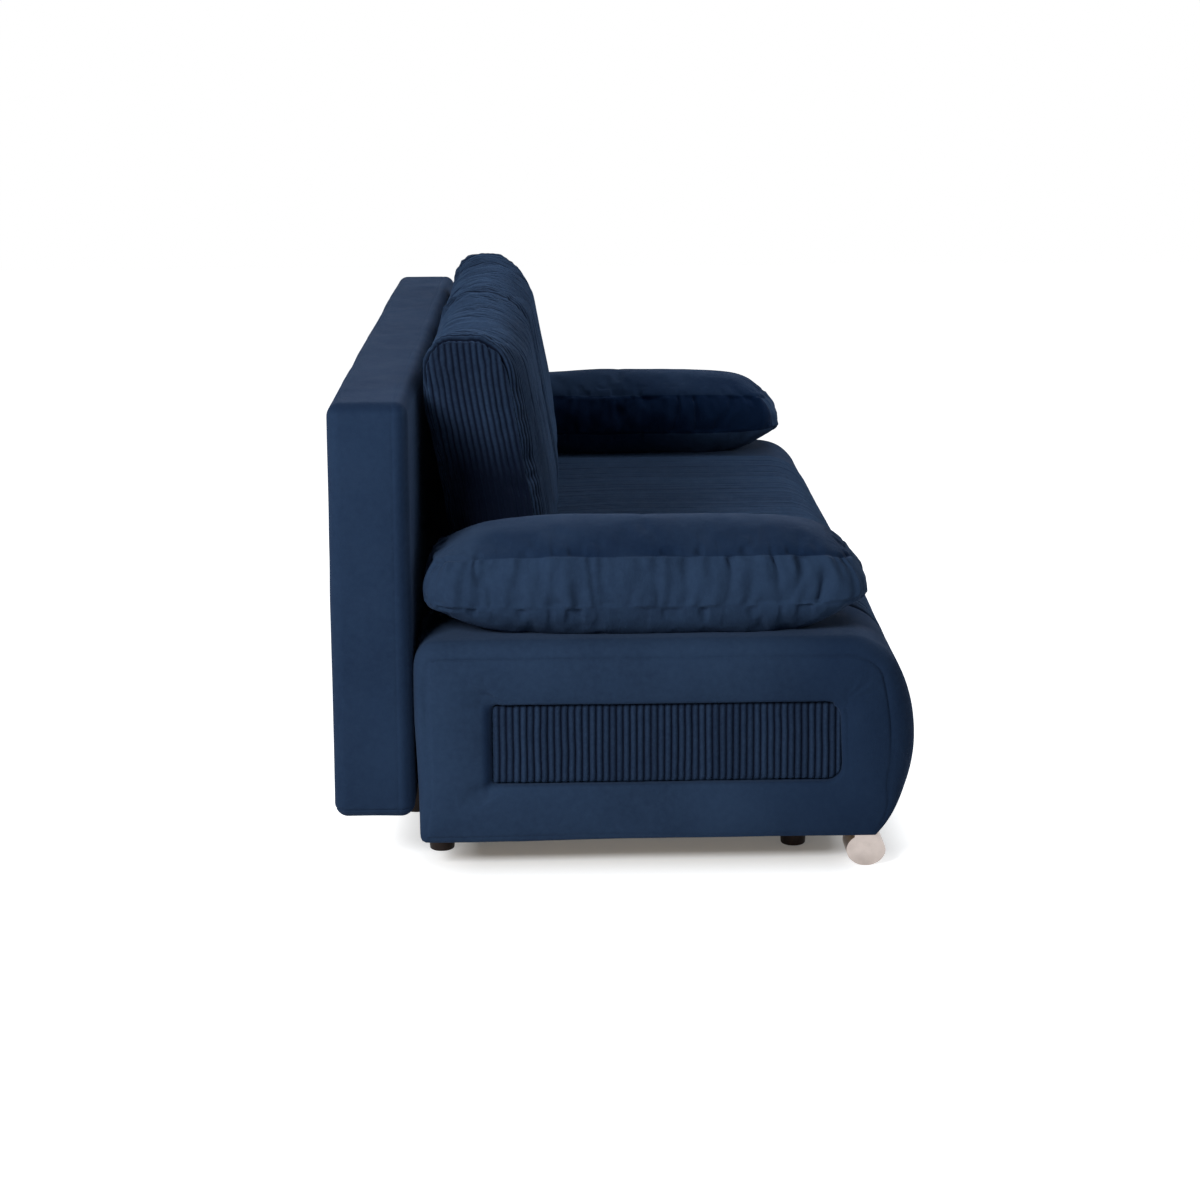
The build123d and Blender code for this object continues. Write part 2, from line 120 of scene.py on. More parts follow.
# %% Shader helpers
def plug(tree, socket, value):
    """Give a socket another node's output, a number or a colour."""
    if isinstance(value, bpy.types.NodeSocket):
        tree.links.new(value, socket)
    elif isinstance(value, (int, float)):
        socket.default_value = value
    else:
        socket.default_value = (*value, 1.0)


def plug_all(tree, node, values):
    """Give several of a node's sockets their values."""
    for name, value in values.items():
        plug(tree, node.inputs[name], value)


def add_node(tree, kind, values, **settings):
    """The outputs of a new shader node of a kind."""
    node = tree.nodes.new("ShaderNode" + kind)
    for name, value in settings.items():
        setattr(node, name, value)
    plug_all(tree, node, values)
    return node.outputs


def start_material(name):
    """An empty physical material, its node tree and its main shader."""
    material = bpy.data.materials.new(name)
    material.use_nodes = True
    return material, material.node_tree, material.node_tree.nodes["Principled BSDF"]


def noise(tree, size, detail=3.0, roughness=0.55, stretch=(1, 1, 1)):
    """Soft random patches of about the given size in metres, from 0 to 1."""
    mapping = tree.nodes.new("ShaderNodeMapping")
    mapping.inputs["Scale"].default_value = [1 / factor for factor in stretch]
    plug(tree, mapping.inputs["Vector"], add_node(tree, "TexCoord", {})["Object"])
    return add_node(tree, "TexNoise", {
        "Vector": mapping.outputs["Vector"],
        "Scale": 1 / size,
        "Detail": detail,
        "Roughness": roughness,
    })["Fac"]


def spread_range(tree, value, low, high, floor=0.3, ceiling=0.7):
    """Stretch a value's middle range to run from low to high."""
    return add_node(tree, "MapRange", {
        "Value": value, "From Min": floor, "From Max": ceiling, "To Min": low, "To Max": high,
    })["Result"]


def mix_colours(tree, share, first, second):
    """Blend two colours by a share, each of them a value or a node's output."""
    first_colour, second_colour, blended = 6, 7, 2     # socket numbers of the colour version
    values = {0: share, first_colour: first, second_colour: second}
    return add_node(tree, "Mix", values, data_type="RGBA")[blended]


def combine(tree, operation, first, second):
    """Two numbers added or multiplied."""
    return add_node(tree, "Math", {0: first, 1: second}, operation=operation)[0]


def bump(tree, shader, height, distance):
    """Tilt the surface by a height pattern, at most the given distance deep."""
    normal = add_node(tree, "Bump", {"Height": height, "Distance": distance})["Normal"]
    plug(tree, shader.inputs["Normal"], normal)


def linear(red, green, blue):
    """A colour given in ordinary 0 to 255 screen values, as the shader wants it."""
    return [((value / 255 + 0.055) / 1.055) ** 2.4 for value in (red, green, blue)]


print("a mid blue is", short(linear(36, 52, 78)))

# %% [markdown]
# ## Floor and light
#
# A pale matt floor keeps the shadow under the sofa. Round that shadow it glows to the camera, so
# that the lit floor turns white without lighting the sofa.
#
# The key light is a softbox past the near end and a little behind the sofa, so cords and folds on
# the end faces cast small shadows toward the front. Two weaker softboxes, overhead and in front,
# light the tops and the seat, and the world adds a faint blue to the shadows.

# %% Floor and lamps
def camera_only(tree, dim, bright):
    """A strength that is bright where the camera looks straight at it and dim elsewhere."""
    path = add_node(tree, "LightPath", {})
    direct = combine(tree, "ADD", path["Is Camera Ray"], path["Is Glossy Ray"])
    direct = combine(tree, "ADD", direct, path["Is Transmission Ray"])
    return spread_range(tree, direct, dim, bright, floor=0.0, ceiling=1.0)


def outside_distance(tree, low, high):
    """How far a floor point lies outside a rectangle, and 0 inside it."""
    middle = [(low[i] + high[i]) / 2 for i in range(2)]
    half = [(high[i] - low[i]) / 2 for i in range(2)]
    place = add_node(tree, "TexCoord", {})["Object"]
    steps = (("SUBTRACT", middle), ("ABSOLUTE", (0, 0)), ("SUBTRACT", half), ("MAXIMUM", (0, 0)))
    for operation, value in steps:
        node = tree.nodes.new("ShaderNodeVectorMath")
        node.operation = operation
        node.inputs[1].default_value = (*value, 0)
        tree.links.new(place, node.inputs[0])
        place = node.outputs["Vector"]
    return add_node(tree, "VectorMath", {0: place}, operation="LENGTH")["Value"]


def make_floor(half_width=9.0, steps=12):
    """A pale floor that keeps the shadow under the sofa and glows white to the camera around it."""
    work = bmesh.new()
    bmesh.ops.create_grid(work, x_segments=steps, y_segments=steps, size=half_width)
    mesh = bpy.data.meshes.new("floor")
    work.to_mesh(mesh)
    work.free()
    side_inset, front_inset, rear_inset = 0.11, 0.16, 0.27
    fade_start, fade_end = 0.02, 0.20
    darkest = 0.11
    material, tree, shader = start_material("white_floor")
    shaded_low = (cad_low[0] + side_inset, cad_low[1] + front_inset)
    shaded_high = (cad_high[0] - side_inset, cad_high[1] - rear_inset)
    distance = outside_distance(tree, shaded_low, shaded_high)
    glow = spread_range(tree, distance, darkest, 1.0, fade_start, fade_end)
    plug_all(tree, shader, {
        "Base Color": mix_colours(tree, noise(tree, 0.6), (0.66, 0.68, 0.70), (0.70, 0.72, 0.74)),
        "Roughness": 0.9,
        "Specular IOR Level": 0.0,
        "Emission Color": (1, 1, 1),
        "Emission Strength": combine(tree, "MULTIPLY", camera_only(tree, 0.0, 1.0), glow),
    })
    mesh.materials.append(material)
    floor = bpy.data.objects.new("floor", mesh)
    bpy.context.scene.collection.objects.link(floor)


def make_lamp(name, place, target, width, height, power):
    """A rectangular softbox at a place, aimed at a target."""
    lamp_data = bpy.data.lights.new(name, "AREA")
    lamp_data.shape = "RECTANGLE"
    lamp_data.size = width
    lamp_data.size_y = height
    lamp_data.energy = power
    lamp = bpy.data.objects.new(name, lamp_data)
    lamp.location = place
    direction = Vector(target) - Vector(place)
    lamp.rotation_euler = direction.to_track_quat("-Z", "Y").to_euler()
    bpy.context.scene.collection.objects.link(lamp)
    print(name, "power", power)


def make_world(level, tint):
    """Faint even light of one tint, and plain white behind the sofa."""
    world = bpy.data.worlds.new("studio")
    world.use_nodes = True
    tree = world.node_tree
    seen = camera_only(tree, 0.0, 1.0)
    plug_all(tree, tree.nodes["Background"], {
        "Color": mix_colours(tree, seen, tint, (1.0, 1.0, 1.0)),
        "Strength": camera_only(tree, level, 1.0),
    })
    bpy.context.scene.world = world


make_floor()
make_world(0.05, (0.45, 0.76, 1.0))
make_lamp("key_softbox", (-3.8, 2.05, 2.4), (-0.8, 0.1, 0.5), 1.3, 1.1, 141)
make_lamp("overhead_softbox", (0.6, -0.7, 2.9), (0, -0.1, 0.4), 1.8, 1.6, 25)
make_lamp("front_softbox", (0.9, -3.4, 2.2), (-0.2, 0, 0.6), 2.0, 1.4, 28)

# %% [markdown]
# ## Velour and corduroy
#
# Both cloths have the same short, dense pile, dyed deep blue. Real pile looks pale at a grazing
# angle, which a sheen layer on a very rough base gives, and it shows soft patches where hands have
# brushed it. Two values stored in the meshes darken it further with painted shade:
#
# - one, in velour, says where shade is painted into the pile's colour
# - "cord", in corduroy, is 0 in a groove and 1 on a crest, times a tone for each cord. It paints
#   shade into the grooves, which are modelled in the mesh. It also darkens the foot of the back
#   cushions' ends and the rolled edges of the ribbed panels.

# %% Cloth finishes
pile_blue = linear(41, 59, 85)
pile_shade = linear(35, 51, 75)
pile_light = linear(48, 68, 94)
# the next two blues are painted shade: for corduroy grooves and for shaded velour
groove_shade_blue = linear(1, 10, 29)
nap_blue = linear(10, 28, 54)


def pile_colour(tree):
    """Deep blue with broad brushed patches and a fine mottle."""
    brushed = spread_range(tree, noise(tree, 0.22, detail=2.0), 0.0, 1.0, 0.35, 0.65)
    mottle = spread_range(tree, noise(tree, 0.012, detail=5.0, roughness=0.65), 0.0, 1.0)
    base = mix_colours(tree, brushed, pile_shade, pile_blue)
    return mix_colours(tree, combine(tree, "MULTIPLY", mottle, 0.4), base, pile_light)


def stored(tree, name):
    """A value stored in the mesh, and 0 where there is none."""
    return add_node(tree, "Attribute", {}, attribute_name=name)["Fac"]


def velour_colour(tree):
    """Plain pile, mixed with painted shade where a value stored in the mesh says."""
    # share of painted shade, read from the mesh
    turned = spread_range(tree, stored(tree, "nap"), 0.0, 1.0)
    return mix_colours(tree, turned, pile_colour(tree), nap_blue)


def corduroy_colour(tree):
    """Tufted pile on the crests and painted shade, a darker blue, in the grooves."""
    height = spread_range(tree, stored(tree, "cord"), 0.0, 0.9, 0.30, 0.92)
    tufts = spread_range(tree, noise(tree, 0.006, detail=4.0, roughness=0.7), 0.76, 1.08)
    crest = combine(tree, "MULTIPLY", height, tufts)
    return mix_colours(tree, crest, groove_shade_blue, pile_colour(tree))


def make_cloth(name, colour, patch_size, roughness, fibre_depth, specular, sheen):
    """Short-pile cloth: fibre ends a fraction of a millimetre deep over a slightly uneven pile."""
    material, tree, shader = start_material(name)
    pile = combine(tree, "ADD", noise(tree, 0.0016, roughness=0.7), noise(tree, 0.007))
    bump(tree, shader, pile, fibre_depth)
    plug_all(tree, shader, {
        "Base Color": colour(tree),
        "Roughness": spread_range(tree, noise(tree, patch_size), *roughness),
        "Specular IOR Level": specular,
        **{f"Sheen {socket}": value for socket, value in sheen.items()},
    })
    return material


velour = make_cloth(
    "velour", velour_colour, patch_size=0.05, roughness=(0.78, 0.95), fibre_depth=0.0007,
    specular=0.05, sheen={"Weight": 0.08, "Roughness": 0.45, "Tint": (0.42, 0.6, 1.0)},
)
corduroy = make_cloth(
    "corduroy", corduroy_colour, patch_size=0.03, roughness=(0.8, 0.97), fibre_depth=0.001,
    specular=0.1, sheen={"Weight": 0.22, "Roughness": 0.5, "Tint": (0.25, 0.5, 1.0)},
)
print("cloth finishes:", velour.name, corduroy.name)

# %% [markdown]
# ## Helpers for soft forms
#
# A padded form starts here as a fine grid over the six sides of a box. Grids keep every cord, seam
# and fold lined up with the mesh, which sculpting or remeshing would lose. The grid is then bent
# into its form with plain formulas. Small folds come from seeded noise, so each run is the same.

# %% Soft form helpers
side_table = {      # the axis that a side crosses, at which end, and whether its grid looks outward
    "left": (0, 0, False), "right": (0, -1, True),
    "front": (1, 0, True), "back": (1, -1, False),
    "bottom": (2, 0, False), "top": (2, -1, True),
}


def ease(value):
    """0 to 1 with a soft start and end."""
    value = np.clip(value, 0, 1)
    return value * value * (3 - 2 * value)


def groove(distance, width):
    """1 on a line, fading to 0 at a width either side."""
    return np.exp(-(distance / width) ** 2 * 3)


def lumps(points, size, seed):
    """Seeded smooth noise between -1 and 1. Its size may differ along each axis."""
    repeat = 24
    table = np.random.default_rng(seed).uniform(-1, 1, (repeat, repeat, repeat))
    place = points / np.array(size) + 100.0
    cell = np.floor(place).astype(int)
    share = ease(place - cell)
    total = np.zeros(points.shape[:-1])
    for corner in np.ndindex(2, 2, 2):
        step = np.array(corner)
        weight = np.prod(np.where(step == 1, share, 1 - share), axis=-1)
        index = (cell + step) % repeat
        total += weight * table[index[..., 0], index[..., 1], index[..., 2]]
    return total


def box_sides(counts):
    """Point numbers of the six sides of a box grid, with shared edges."""
    outer = np.ones(counts, bool)
    outer[1:-1, 1:-1, 1:-1] = False
    number = np.full(outer.shape, -1)
    number[outer] = np.arange(outer.sum())
    return {name: np.take(number, end, axis=axis) for name, (axis, end, _) in side_table.items()}


def side_quads(number, outward):
    """Four-cornered faces of a grid, turned round where the grid does not look outward."""
    quads = np.stack([number[:-1, :-1], number[1:, :-1], number[1:, 1:], number[:-1, 1:]], -1)
    quads = quads.reshape(-1, 4)
    return quads if outward else quads[:, ::-1]


def box_quads(sides):
    """All the faces of a box grid."""
    quads = [side_quads(number, outward=side_table[name][2]) for name, number in sides.items()]
    return np.concatenate(quads)


def side_axes(name):
    """The two axes that run along a side."""
    return [axis for axis in range(3) if axis != side_table[name][0]]


def box_grid(lines):
    """Sides, faces and points of a box grid with these lines along X, Y and Z."""
    sides = box_sides([len(line) for line in lines])
    points = np.zeros((1 + max(number.max() for number in sides.values()), 3))
    for name, number in sides.items():
        axis, end, _ = side_table[name]
        first, second = side_axes(name)
        points[number, first] = lines[first][:, None]
        points[number, second] = lines[second][None, :]
        points[number, axis] = lines[axis][end]
    return sides, box_quads(sides), points


def edge_lines(low, high, radius, step, arc_steps=6):
    """Grid lines that are close together in the round edges and even between them."""
    arc = radius * (1 - np.tan(np.linspace(math.pi / 4, 0, arc_steps + 1)))
    steps = max(2, round((high - low - 2 * radius) / step))
    middle = np.linspace(low + radius, high - radius, steps + 1)
    return np.concatenate([low + arc[:-1], middle, (high - arc[:-1])[::-1]])


def from_sides(place, low, high, axes):
    """How far box places lie inside the nearest of the box's sides across these axes."""
    distances = [place[..., axis] - low[axis] for axis in axes]
    distances += [high[axis] - place[..., axis] for axis in axes]
    return np.minimum.reduce(distances)


def mesh_normals(points, quads):
    """The outward direction at each point."""
    a, b, c, d = (points[quads[:, i]] for i in range(4))
    face = np.cross(c - a, d - b)
    normals = np.zeros_like(points)
    for i in range(4):
        np.add.at(normals, quads[:, i], face)
    return normals / np.maximum(np.linalg.norm(normals, axis=1, keepdims=True), 1e-12)


def make_piece(name, points, faces, material, mirror=False, **values):
    """A smooth-shaded mesh object. Values per point go into attributes of the same names."""
    if mirror:
        points = points * (-1, 1, 1)
        faces = [face[::-1] for face in faces]
    mesh = bpy.data.meshes.new(name)
    mesh.from_pydata(points.tolist(), [], [[int(i) for i in face] for face in faces])
    mesh.validate()
    mesh.shade_smooth()
    mesh.materials.append(material)
    for value_name, numbers in values.items():
        attribute = mesh.attributes.new(value_name, "FLOAT", "POINT")
        attribute.data.foreach_set("value", numbers.astype(np.float32))
    piece = bpy.data.objects.new(name, mesh)
    bpy.context.scene.collection.objects.link(piece)
    print(name, len(points), "points")
    return piece


def make_tube(name, points, number, material, mirror=False, **values):
    """A piece made of closed rings of points, with a face over each end."""
    around = np.column_stack([number, number[:, 0]])
    faces = [list(quad) for quad in side_quads(around, outward=True)]
    faces += [list(number[0]), list(number[-1])[::-1]]
    piece = make_piece(name, points, faces, material, mirror, **values)
    work = bmesh.new()
    work.from_mesh(piece.data)
    bmesh.ops.recalc_face_normals(work, faces=work.faces)
    work.to_mesh(piece.data)
    work.free()
    piece.data.shade_smooth()
    return piece


def dress(piece, body, slot_name, fill, *nodes):
    """Hang a soft piece on the body that it rides on, and hide the parts that it stands for."""
    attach(piece, body)
    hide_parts(*nodes)


print("sides of a box:", *side_table)

# %% [markdown]
# ## The back slab
#
# The slab that becomes half of the bed is a timber frame with a foam pad on each face, in one
# velour cover. It could be a cube with a bevel, but a real cover is never that flat: the faces swell
# a little, a seam runs round near the front edge, and the cloth is turned over a hem at the bottom
# and sags there at the ends. Two grid lines on each side of a seam are enough to press it in.
#
# The hinges and the folding legs need openings, so boxes are cut out at the end.

# %% Back slab cover
def seam_lines(lines, place, width):
    """Replace the grid lines near a seam by five that shape it."""
    kept = lines[np.abs(lines - place) > 2.2 * width]
    return np.sort(np.concatenate([kept, place + width * np.array([-2, -1, 0, 1, 2])]))


def round_edges(points, low, high, radius):
    """Pull a box's corners and edges in to a radius."""
    core = np.clip(points, np.array(low) + radius, np.array(high) - radius)
    reach = points - core
    return core + radius * reach / np.maximum(np.linalg.norm(reach, axis=1, keepdims=True), 1e-9)


def cut_boxes(piece, boxes):
    """Cut boxes, given by their low and high corners, out of a piece."""
    work = bmesh.new()
    for low, high in boxes:
        size = [high[i] - low[i] for i in range(3)]
        middle = [(high[i] + low[i]) / 2 for i in range(3)]
        place = Matrix.Translation(middle) @ Matrix.Diagonal((*size, 1))
        bmesh.ops.create_cube(work, size=1, matrix=place)
    mesh = bpy.data.meshes.new("cutter")
    work.to_mesh(mesh)
    work.free()
    cutter = bpy.data.objects.new("cutter", mesh)
    bpy.context.scene.collection.objects.link(cutter)
    cut = piece.modifiers.new("cut", "BOOLEAN")
    cut.operation = "DIFFERENCE"
    cut.solver = "EXACT"
    cut.object = cutter
    bpy.context.view_layer.update()
    evaluated = piece.evaluated_get(bpy.context.evaluated_depsgraph_get())
    result = bpy.data.meshes.new_from_object(evaluated)
    piece.modifiers.clear()
    piece.data = result
    piece.data.shade_smooth()
    bpy.data.objects.remove(cutter)


def union_box(*nodes):
    """The box round several nodes."""
    corners = [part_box(node) for node in nodes]
    low = [min(pair[0][i] for pair in corners) for i in range(3)]
    high = [max(pair[1][i] for pair in corners) for i in range(3)]
    return low, high


def slab_openings(slab_low, slab_high):
    """Boxes for the two hinges and the two folding legs."""
    past = 0.02                      # how far a box sticks out of the slab
    leg_room = 0.005
    boxes = []
    for side in ("left", "right"):
        hinge_low, hinge_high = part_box(f"hinge_bracket_{side}")
        boxes.append((
            (hinge_low.x - 0.001, slab_low[1] - past, slab_low[2] - past),
            (hinge_high.x + 0.001, hinge_high.y + 0.0005, hinge_high.z + 0.001),
        ))
        leg_low, leg_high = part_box(f"leg_bar_{side}")
        shoe_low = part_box(f"leg_shoe_{side}")[0]
        boxes.append((
            (leg_low.x - leg_room, leg_low.y - 0.004, shoe_low.z - leg_room),
            (leg_high.x + leg_room, slab_high[1] + past, leg_high.z + leg_room),
        ))
    return boxes


def make_slab_cover():
    """The velour cover round the whole back slab."""
    low, high = union_box("slab_front_pad", "slab_rear_pad")
    radius = 0.024
    cap_seam = low[1] + 0.027
    hem = low[2] + 0.015
    seam_spacing = 0.0014
    _, quads, box_place = box_grid([
        edge_lines(low[0], high[0], radius, 0.02),
        seam_lines(edge_lines(low[1], high[1], radius, 0.009), cap_seam, seam_spacing),
        seam_lines(edge_lines(low[2], high[2], radius, 0.018), hem, seam_spacing),
    ])
    points = round_edges(box_place, low, high, radius)
    middle = (np.array(low) + np.array(high)) / 2
    share = (points - middle) / (np.array(high) - np.array(low)) * 2
    for axis, crown in enumerate((0.003, 0.0016, 0.002)):
        others = [i for i in range(3) if i != axis]
        swell = (1 - share[:, others[0]] ** 6) * (1 - share[:, others[1]] ** 6)
        points[:, axis] += crown * np.clip(swell, 0, 1) * share[:, axis] ** 3

    normals = mesh_normals(points, quads)
    uneven = lumps(points, 0.16, 3) * 0.0011 + lumps(points, 0.055, 4) * 0.0004
    hem_tug = groove(box_place[:, 2] - hem - 0.012, 0.02) * 0.0008
    hem_tug *= lumps(points, (0.03, 0.03, 0.2), 5)
    seam = 0.35 * groove(box_place[:, 1] - cap_seam, 0.0035)
    seam += groove(box_place[:, 2] - hem, 0.0024)
    on_face = (box_place[:, 1] > low[1] + 0.001) & (box_place[:, 2] > low[2] + 0.001)
    seam_depth, foot_sag, foot_height = 0.0017, 0.006, 0.09
    points += normals * (uneven + hem_tug - seam_depth * np.clip(seam, 0, 1) * on_face)[:, None]
    outer_end = ease((np.abs(points[:, 0]) - 0.78) / 0.16)
    near_foot = ease((low[2] + foot_height - points[:, 2]) / foot_height)
    points[:, 2] -= foot_sag * outer_end * near_foot

    # Painted shade on the cover's velour: an even darkening with faint random patches, more on the
    # top toward the near end (-X), and a band along the front edge.
    on_top = ease((normals[:, 2] - 0.2) / 0.6)
    near_end = ease((-0.3 - points[:, 0]) / 0.6)
    nap = 0.42 + 0.02 * lumps(points, 0.12, 6) + (0.04 + 0.08 * near_end) * on_top
    nap += 0.09 * groove(box_place[:, 1] - low[1] - 0.010, 0.016)
    cover = make_piece("slab_cover", points, quads, velour, nap=nap)
    cut_boxes(cover, slab_openings(low, high))
    dress(cover, "slab", "velour", 0.9, "slab_front_pad", "slab_rear_pad")


make_slab_cover()

# %% [markdown]
# ## The side view of the base
#
# The end blocks and the seat share one side view: a flat foot, a front that rolls out in two arcs,
# a rounded shoulder, a flat top and a plain rear. It is drawn once as a closed line, whose corners
# are bent, and it is split into four runs so that other outlines can be matched to it run by run.

# %% Outline of the base
bulge_height = 0.172
lower_setback = 0.072
upper_setback = 0.065
foot_bend = 0.014
outline_step = 0.002


def front_arc(bulge, end, count=80):
    """Points from the front's widest place along an arc to one of its ends."""
    setback = end[0] - bulge[0]
    rise = end[1] - bulge[1]
    radius = (rise ** 2 + setback ** 2) / (2 * setback)
    angle = np.linspace(0, math.asin(abs(rise) / radius), count)
    y = bulge[0] + radius * (1 - np.cos(angle))
    z = bulge[1] + math.copysign(radius, rise) * np.sin(angle)
    return np.column_stack([y, z])


def resample(line, count=None, step=None):
    """Evenly spaced points along an open line, without its last one."""
    lengths = np.concatenate([[0], np.cumsum(np.linalg.norm(np.diff(line, axis=0), axis=1))])
    count = count or max(2, round(lengths[-1] / step))
    places = np.linspace(0, lengths[-1], count, endpoint=False)
    return np.column_stack([np.interp(places, lengths, line[:, i]) for i in range(line.shape[1])])


def nearest(line, place):
    """Number of a line's point that is nearest to a place."""
    return int(np.argmin(np.linalg.norm(line - place, axis=1)))


def bend_corners(line, corners):
    """Replace the corners of a closed, evenly spaced line by soft bends with the given reach."""
    line = line.copy()
    for corner, reach in corners:
        half = max(1, round(reach / outline_step))
        index = (nearest(line, corner) + np.arange(-half, half + 1)) % len(line)
        share = np.linspace(0, 1, 2 * half + 1)[:, None]
        first, last, tip = line[index[0]], line[index[-1]], np.array(corner)
        line[index] = (1 - share) ** 2 * first + 2 * share * (1 - share) * tip + share ** 2 * last
    return line


def split_outline(line, corners, counts):
    """Cut a closed line at four corners and space the points of each run evenly."""
    starts = [nearest(line, corner) for corner in corners]
    runs = []
    for k, count in enumerate(counts):
        length = (starts[(k + 1) % len(starts)] - starts[k]) % len(line)
        index = (starts[k] + np.arange(length + 1)) % len(line)
        runs.append(resample(line[index], count=count))
    return np.concatenate(runs)


def base_outline(front, bottom, top, rear_top, rear_foot, rear_bend, counts, shoulder=0.06):
    """Closed side view: the foot from the rear, the front up, the top back and the rear down."""
    bulge = (front, bottom + bulge_height)
    low_front = (front + lower_setback, bottom)
    high_front = (front + upper_setback, top)
    high_rear = (rear_top, top)
    low_rear = (rear_foot, bottom)
    runs = [
        np.array([low_rear, low_front]),
        front_arc(bulge, low_front)[::-1],
        front_arc(bulge, high_front),
        np.array([high_front, high_rear]),
        np.array([high_rear, low_rear]),
    ]
    line = np.concatenate([resample(run, step=outline_step) for run in runs])
    bends = [(high_front, shoulder), (high_rear, rear_bend), (low_rear, foot_bend)]
    corners = [low_rear, low_front, high_front, high_rear]
    return split_outline(bend_corners(line, bends), corners, counts)


def line_normals(line):
    """Outward directions along a closed line that runs foot, front, top, rear."""
    along = np.roll(line, -1, axis=0) - np.roll(line, 1, axis=0)
    normals = np.column_stack([along[:, 1], -along[:, 0]])
    normals /= np.linalg.norm(normals, axis=1, keepdims=True)
    outward = np.sum(normals * (line - line.mean(axis=0))) > 0
    return normals if outward else -normals


block_low, block_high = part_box("end_block_right")
run_counts = (110, 84, 110, 50)
block_line = base_outline(
    block_low.y, block_low.z, block_high.z, block_high.y, block_high.y - 0.006,
    rear_bend=0.046, counts=run_counts,
)
print("side view:", len(block_line), "points")

# %% [markdown]
# ## The end blocks
#
# Each end of the base is a foam block under velour, with a long pocket in its outer face for a
# ribbed panel. A boolean pocket would have knife edges, so the face is instead lofted: rings of
# points run from the side view's edge, over a soft roll, across the face and into the pocket.
#
# A boxing seam follows the roll along the top and down the front. Cloth pulled round the pocket's
# corners folds into short creases, which are pressed in one by one.

# %% End blocks
def pocket_outline(node, counts):
    """The pocket's outline, just outside its ribbed panel."""
    low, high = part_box(node)
    clear = 0.0005
    front, rear = low.y - clear, high.y + clear
    bottom, top = low.z - clear, high.z + clear
    corners = [(rear, bottom), (front, bottom), (front, top), (rear, top)]
    closed = corners + corners[:1]
    line = np.concatenate([
        resample(np.array(closed[k:k + 2]), step=outline_step) for k in range(4)
    ])
    front_bend, rear_bend = 0.034, 0.012
    reaches = (rear_bend, front_bend, front_bend, rear_bend)
    line = bend_corners(line, list(zip(corners, reaches)))
    return split_outline(line, corners, counts)


def press_line(place, start, end, width, depth):
    """A short crease: how deep each (y, z) place is pressed in."""
    start = np.array(start)
    run = np.array(end) - start
    share = np.clip(((place - start) @ run) / (run @ run), 0, 1)
    distance = np.linalg.norm(place - start - share[:, None] * run, axis=1)
    return depth * groove(distance, width) * (1 - share) ** 0.7


def block_creases(place, low, high, seed):
    """Fans of creases that run out from the pocket's corners. The deepest one counts."""
    random = np.random.default_rng(seed)
    fans = [                # corner, reach along y and z, number of creases, depth
        ((high.y, high.z), (0.052, 0.040), 4, 0.0064),
        ((high.y, low.z), (0.054, -0.032), 3, 0.0076),
        ((low.y, high.z), (-0.055, 0.034), 4, 0.0030),
        ((low.y, low.z), (-0.034, -0.024), 2, 0.0014),
    ]
    angle_between, crease_width, first_share = 0.42, 0.0085, 0.14
    depth = np.zeros(len(place))
    for corner, reach, count, strength in fans:
        for k in range(count):
            turn = (k - (count - 1) / 2) * angle_between + random.uniform(-0.08, 0.08)
            stretch = random.uniform(0.7, 1.15)
            y = reach[0] * math.cos(turn) - reach[1] * math.sin(turn)
            z = reach[0] * math.sin(turn) + reach[1] * math.cos(turn)
            start = (corner[0] + first_share * y, corner[1] + first_share * z)
            end = (corner[0] + stretch * y, corner[1] + stretch * z)
            strength_here = strength * random.uniform(0.6, 1.1)
            depth = np.maximum(depth, press_line(place, start, end, crease_width, strength_here))
    return depth


def block_rings(x_inner, x_outer, roll, rim, pocket):
    """Rings of points from the block's inner end to its pocket's floor.

    Gives the points, the numbers of the outer face's rings, and the outline where the face starts.
    """
    normals, pocket_normals = line_normals(block_line), line_normals(pocket)
    inner_radius, pocket_depth, near_seam = 0.008, 0.024, 0.008
    rings = []

    def add_ring(x, line):
        rings.append(np.column_stack([np.broadcast_to(x, len(line)), line]))

    for angle in np.radians([90, 60, 30]):
        inset = inner_radius * (1 - math.cos(angle))
        add_ring(x_inner + inner_radius * (1 - math.sin(angle)), block_line - normals * inset)
    wall_start = x_inner + inner_radius
    for share in np.linspace(0, 1, 27):
        add_ring(wall_start + share * (x_outer - roll - wall_start), block_line)
    for angle in np.radians([12, 24, 36, 48, 60, 70, 80]):
        inset = roll * (1 - math.cos(angle))
        add_ring(x_outer - roll * (1 - math.sin(angle)), block_line - normals * inset[:, None])

    edge = block_line - normals * roll[:, None]
    rim_line = pocket + pocket_normals * rim[:, None]
    gap = np.linalg.norm(edge - rim_line, axis=1)
    face_shares = [distance / gap for distance in (0.0, 0.0015, 0.003, 0.0045, near_seam)]
    start = near_seam / gap
    face_shares += [start + (1 - start) * step for step in np.linspace(0, 1, 25)[1:]]
    face = slice(len(rings), len(rings) + len(face_shares))
    for share in face_shares:
        add_ring(x_outer, edge + (rim_line - edge) * share[:, None])

    for angle in np.radians([18, 36, 54, 72, 90]):
        line = pocket + pocket_normals * (rim * (1 - math.sin(angle)))[:, None]
        add_ring(x_outer - rim * (1 - math.cos(angle)), line)
    for depth in (0.4, 1.0):
        add_ring((x_outer - rim) * (1 - depth) + (x_outer - pocket_depth) * depth, pocket)
    return np.concatenate(rings), face, edge


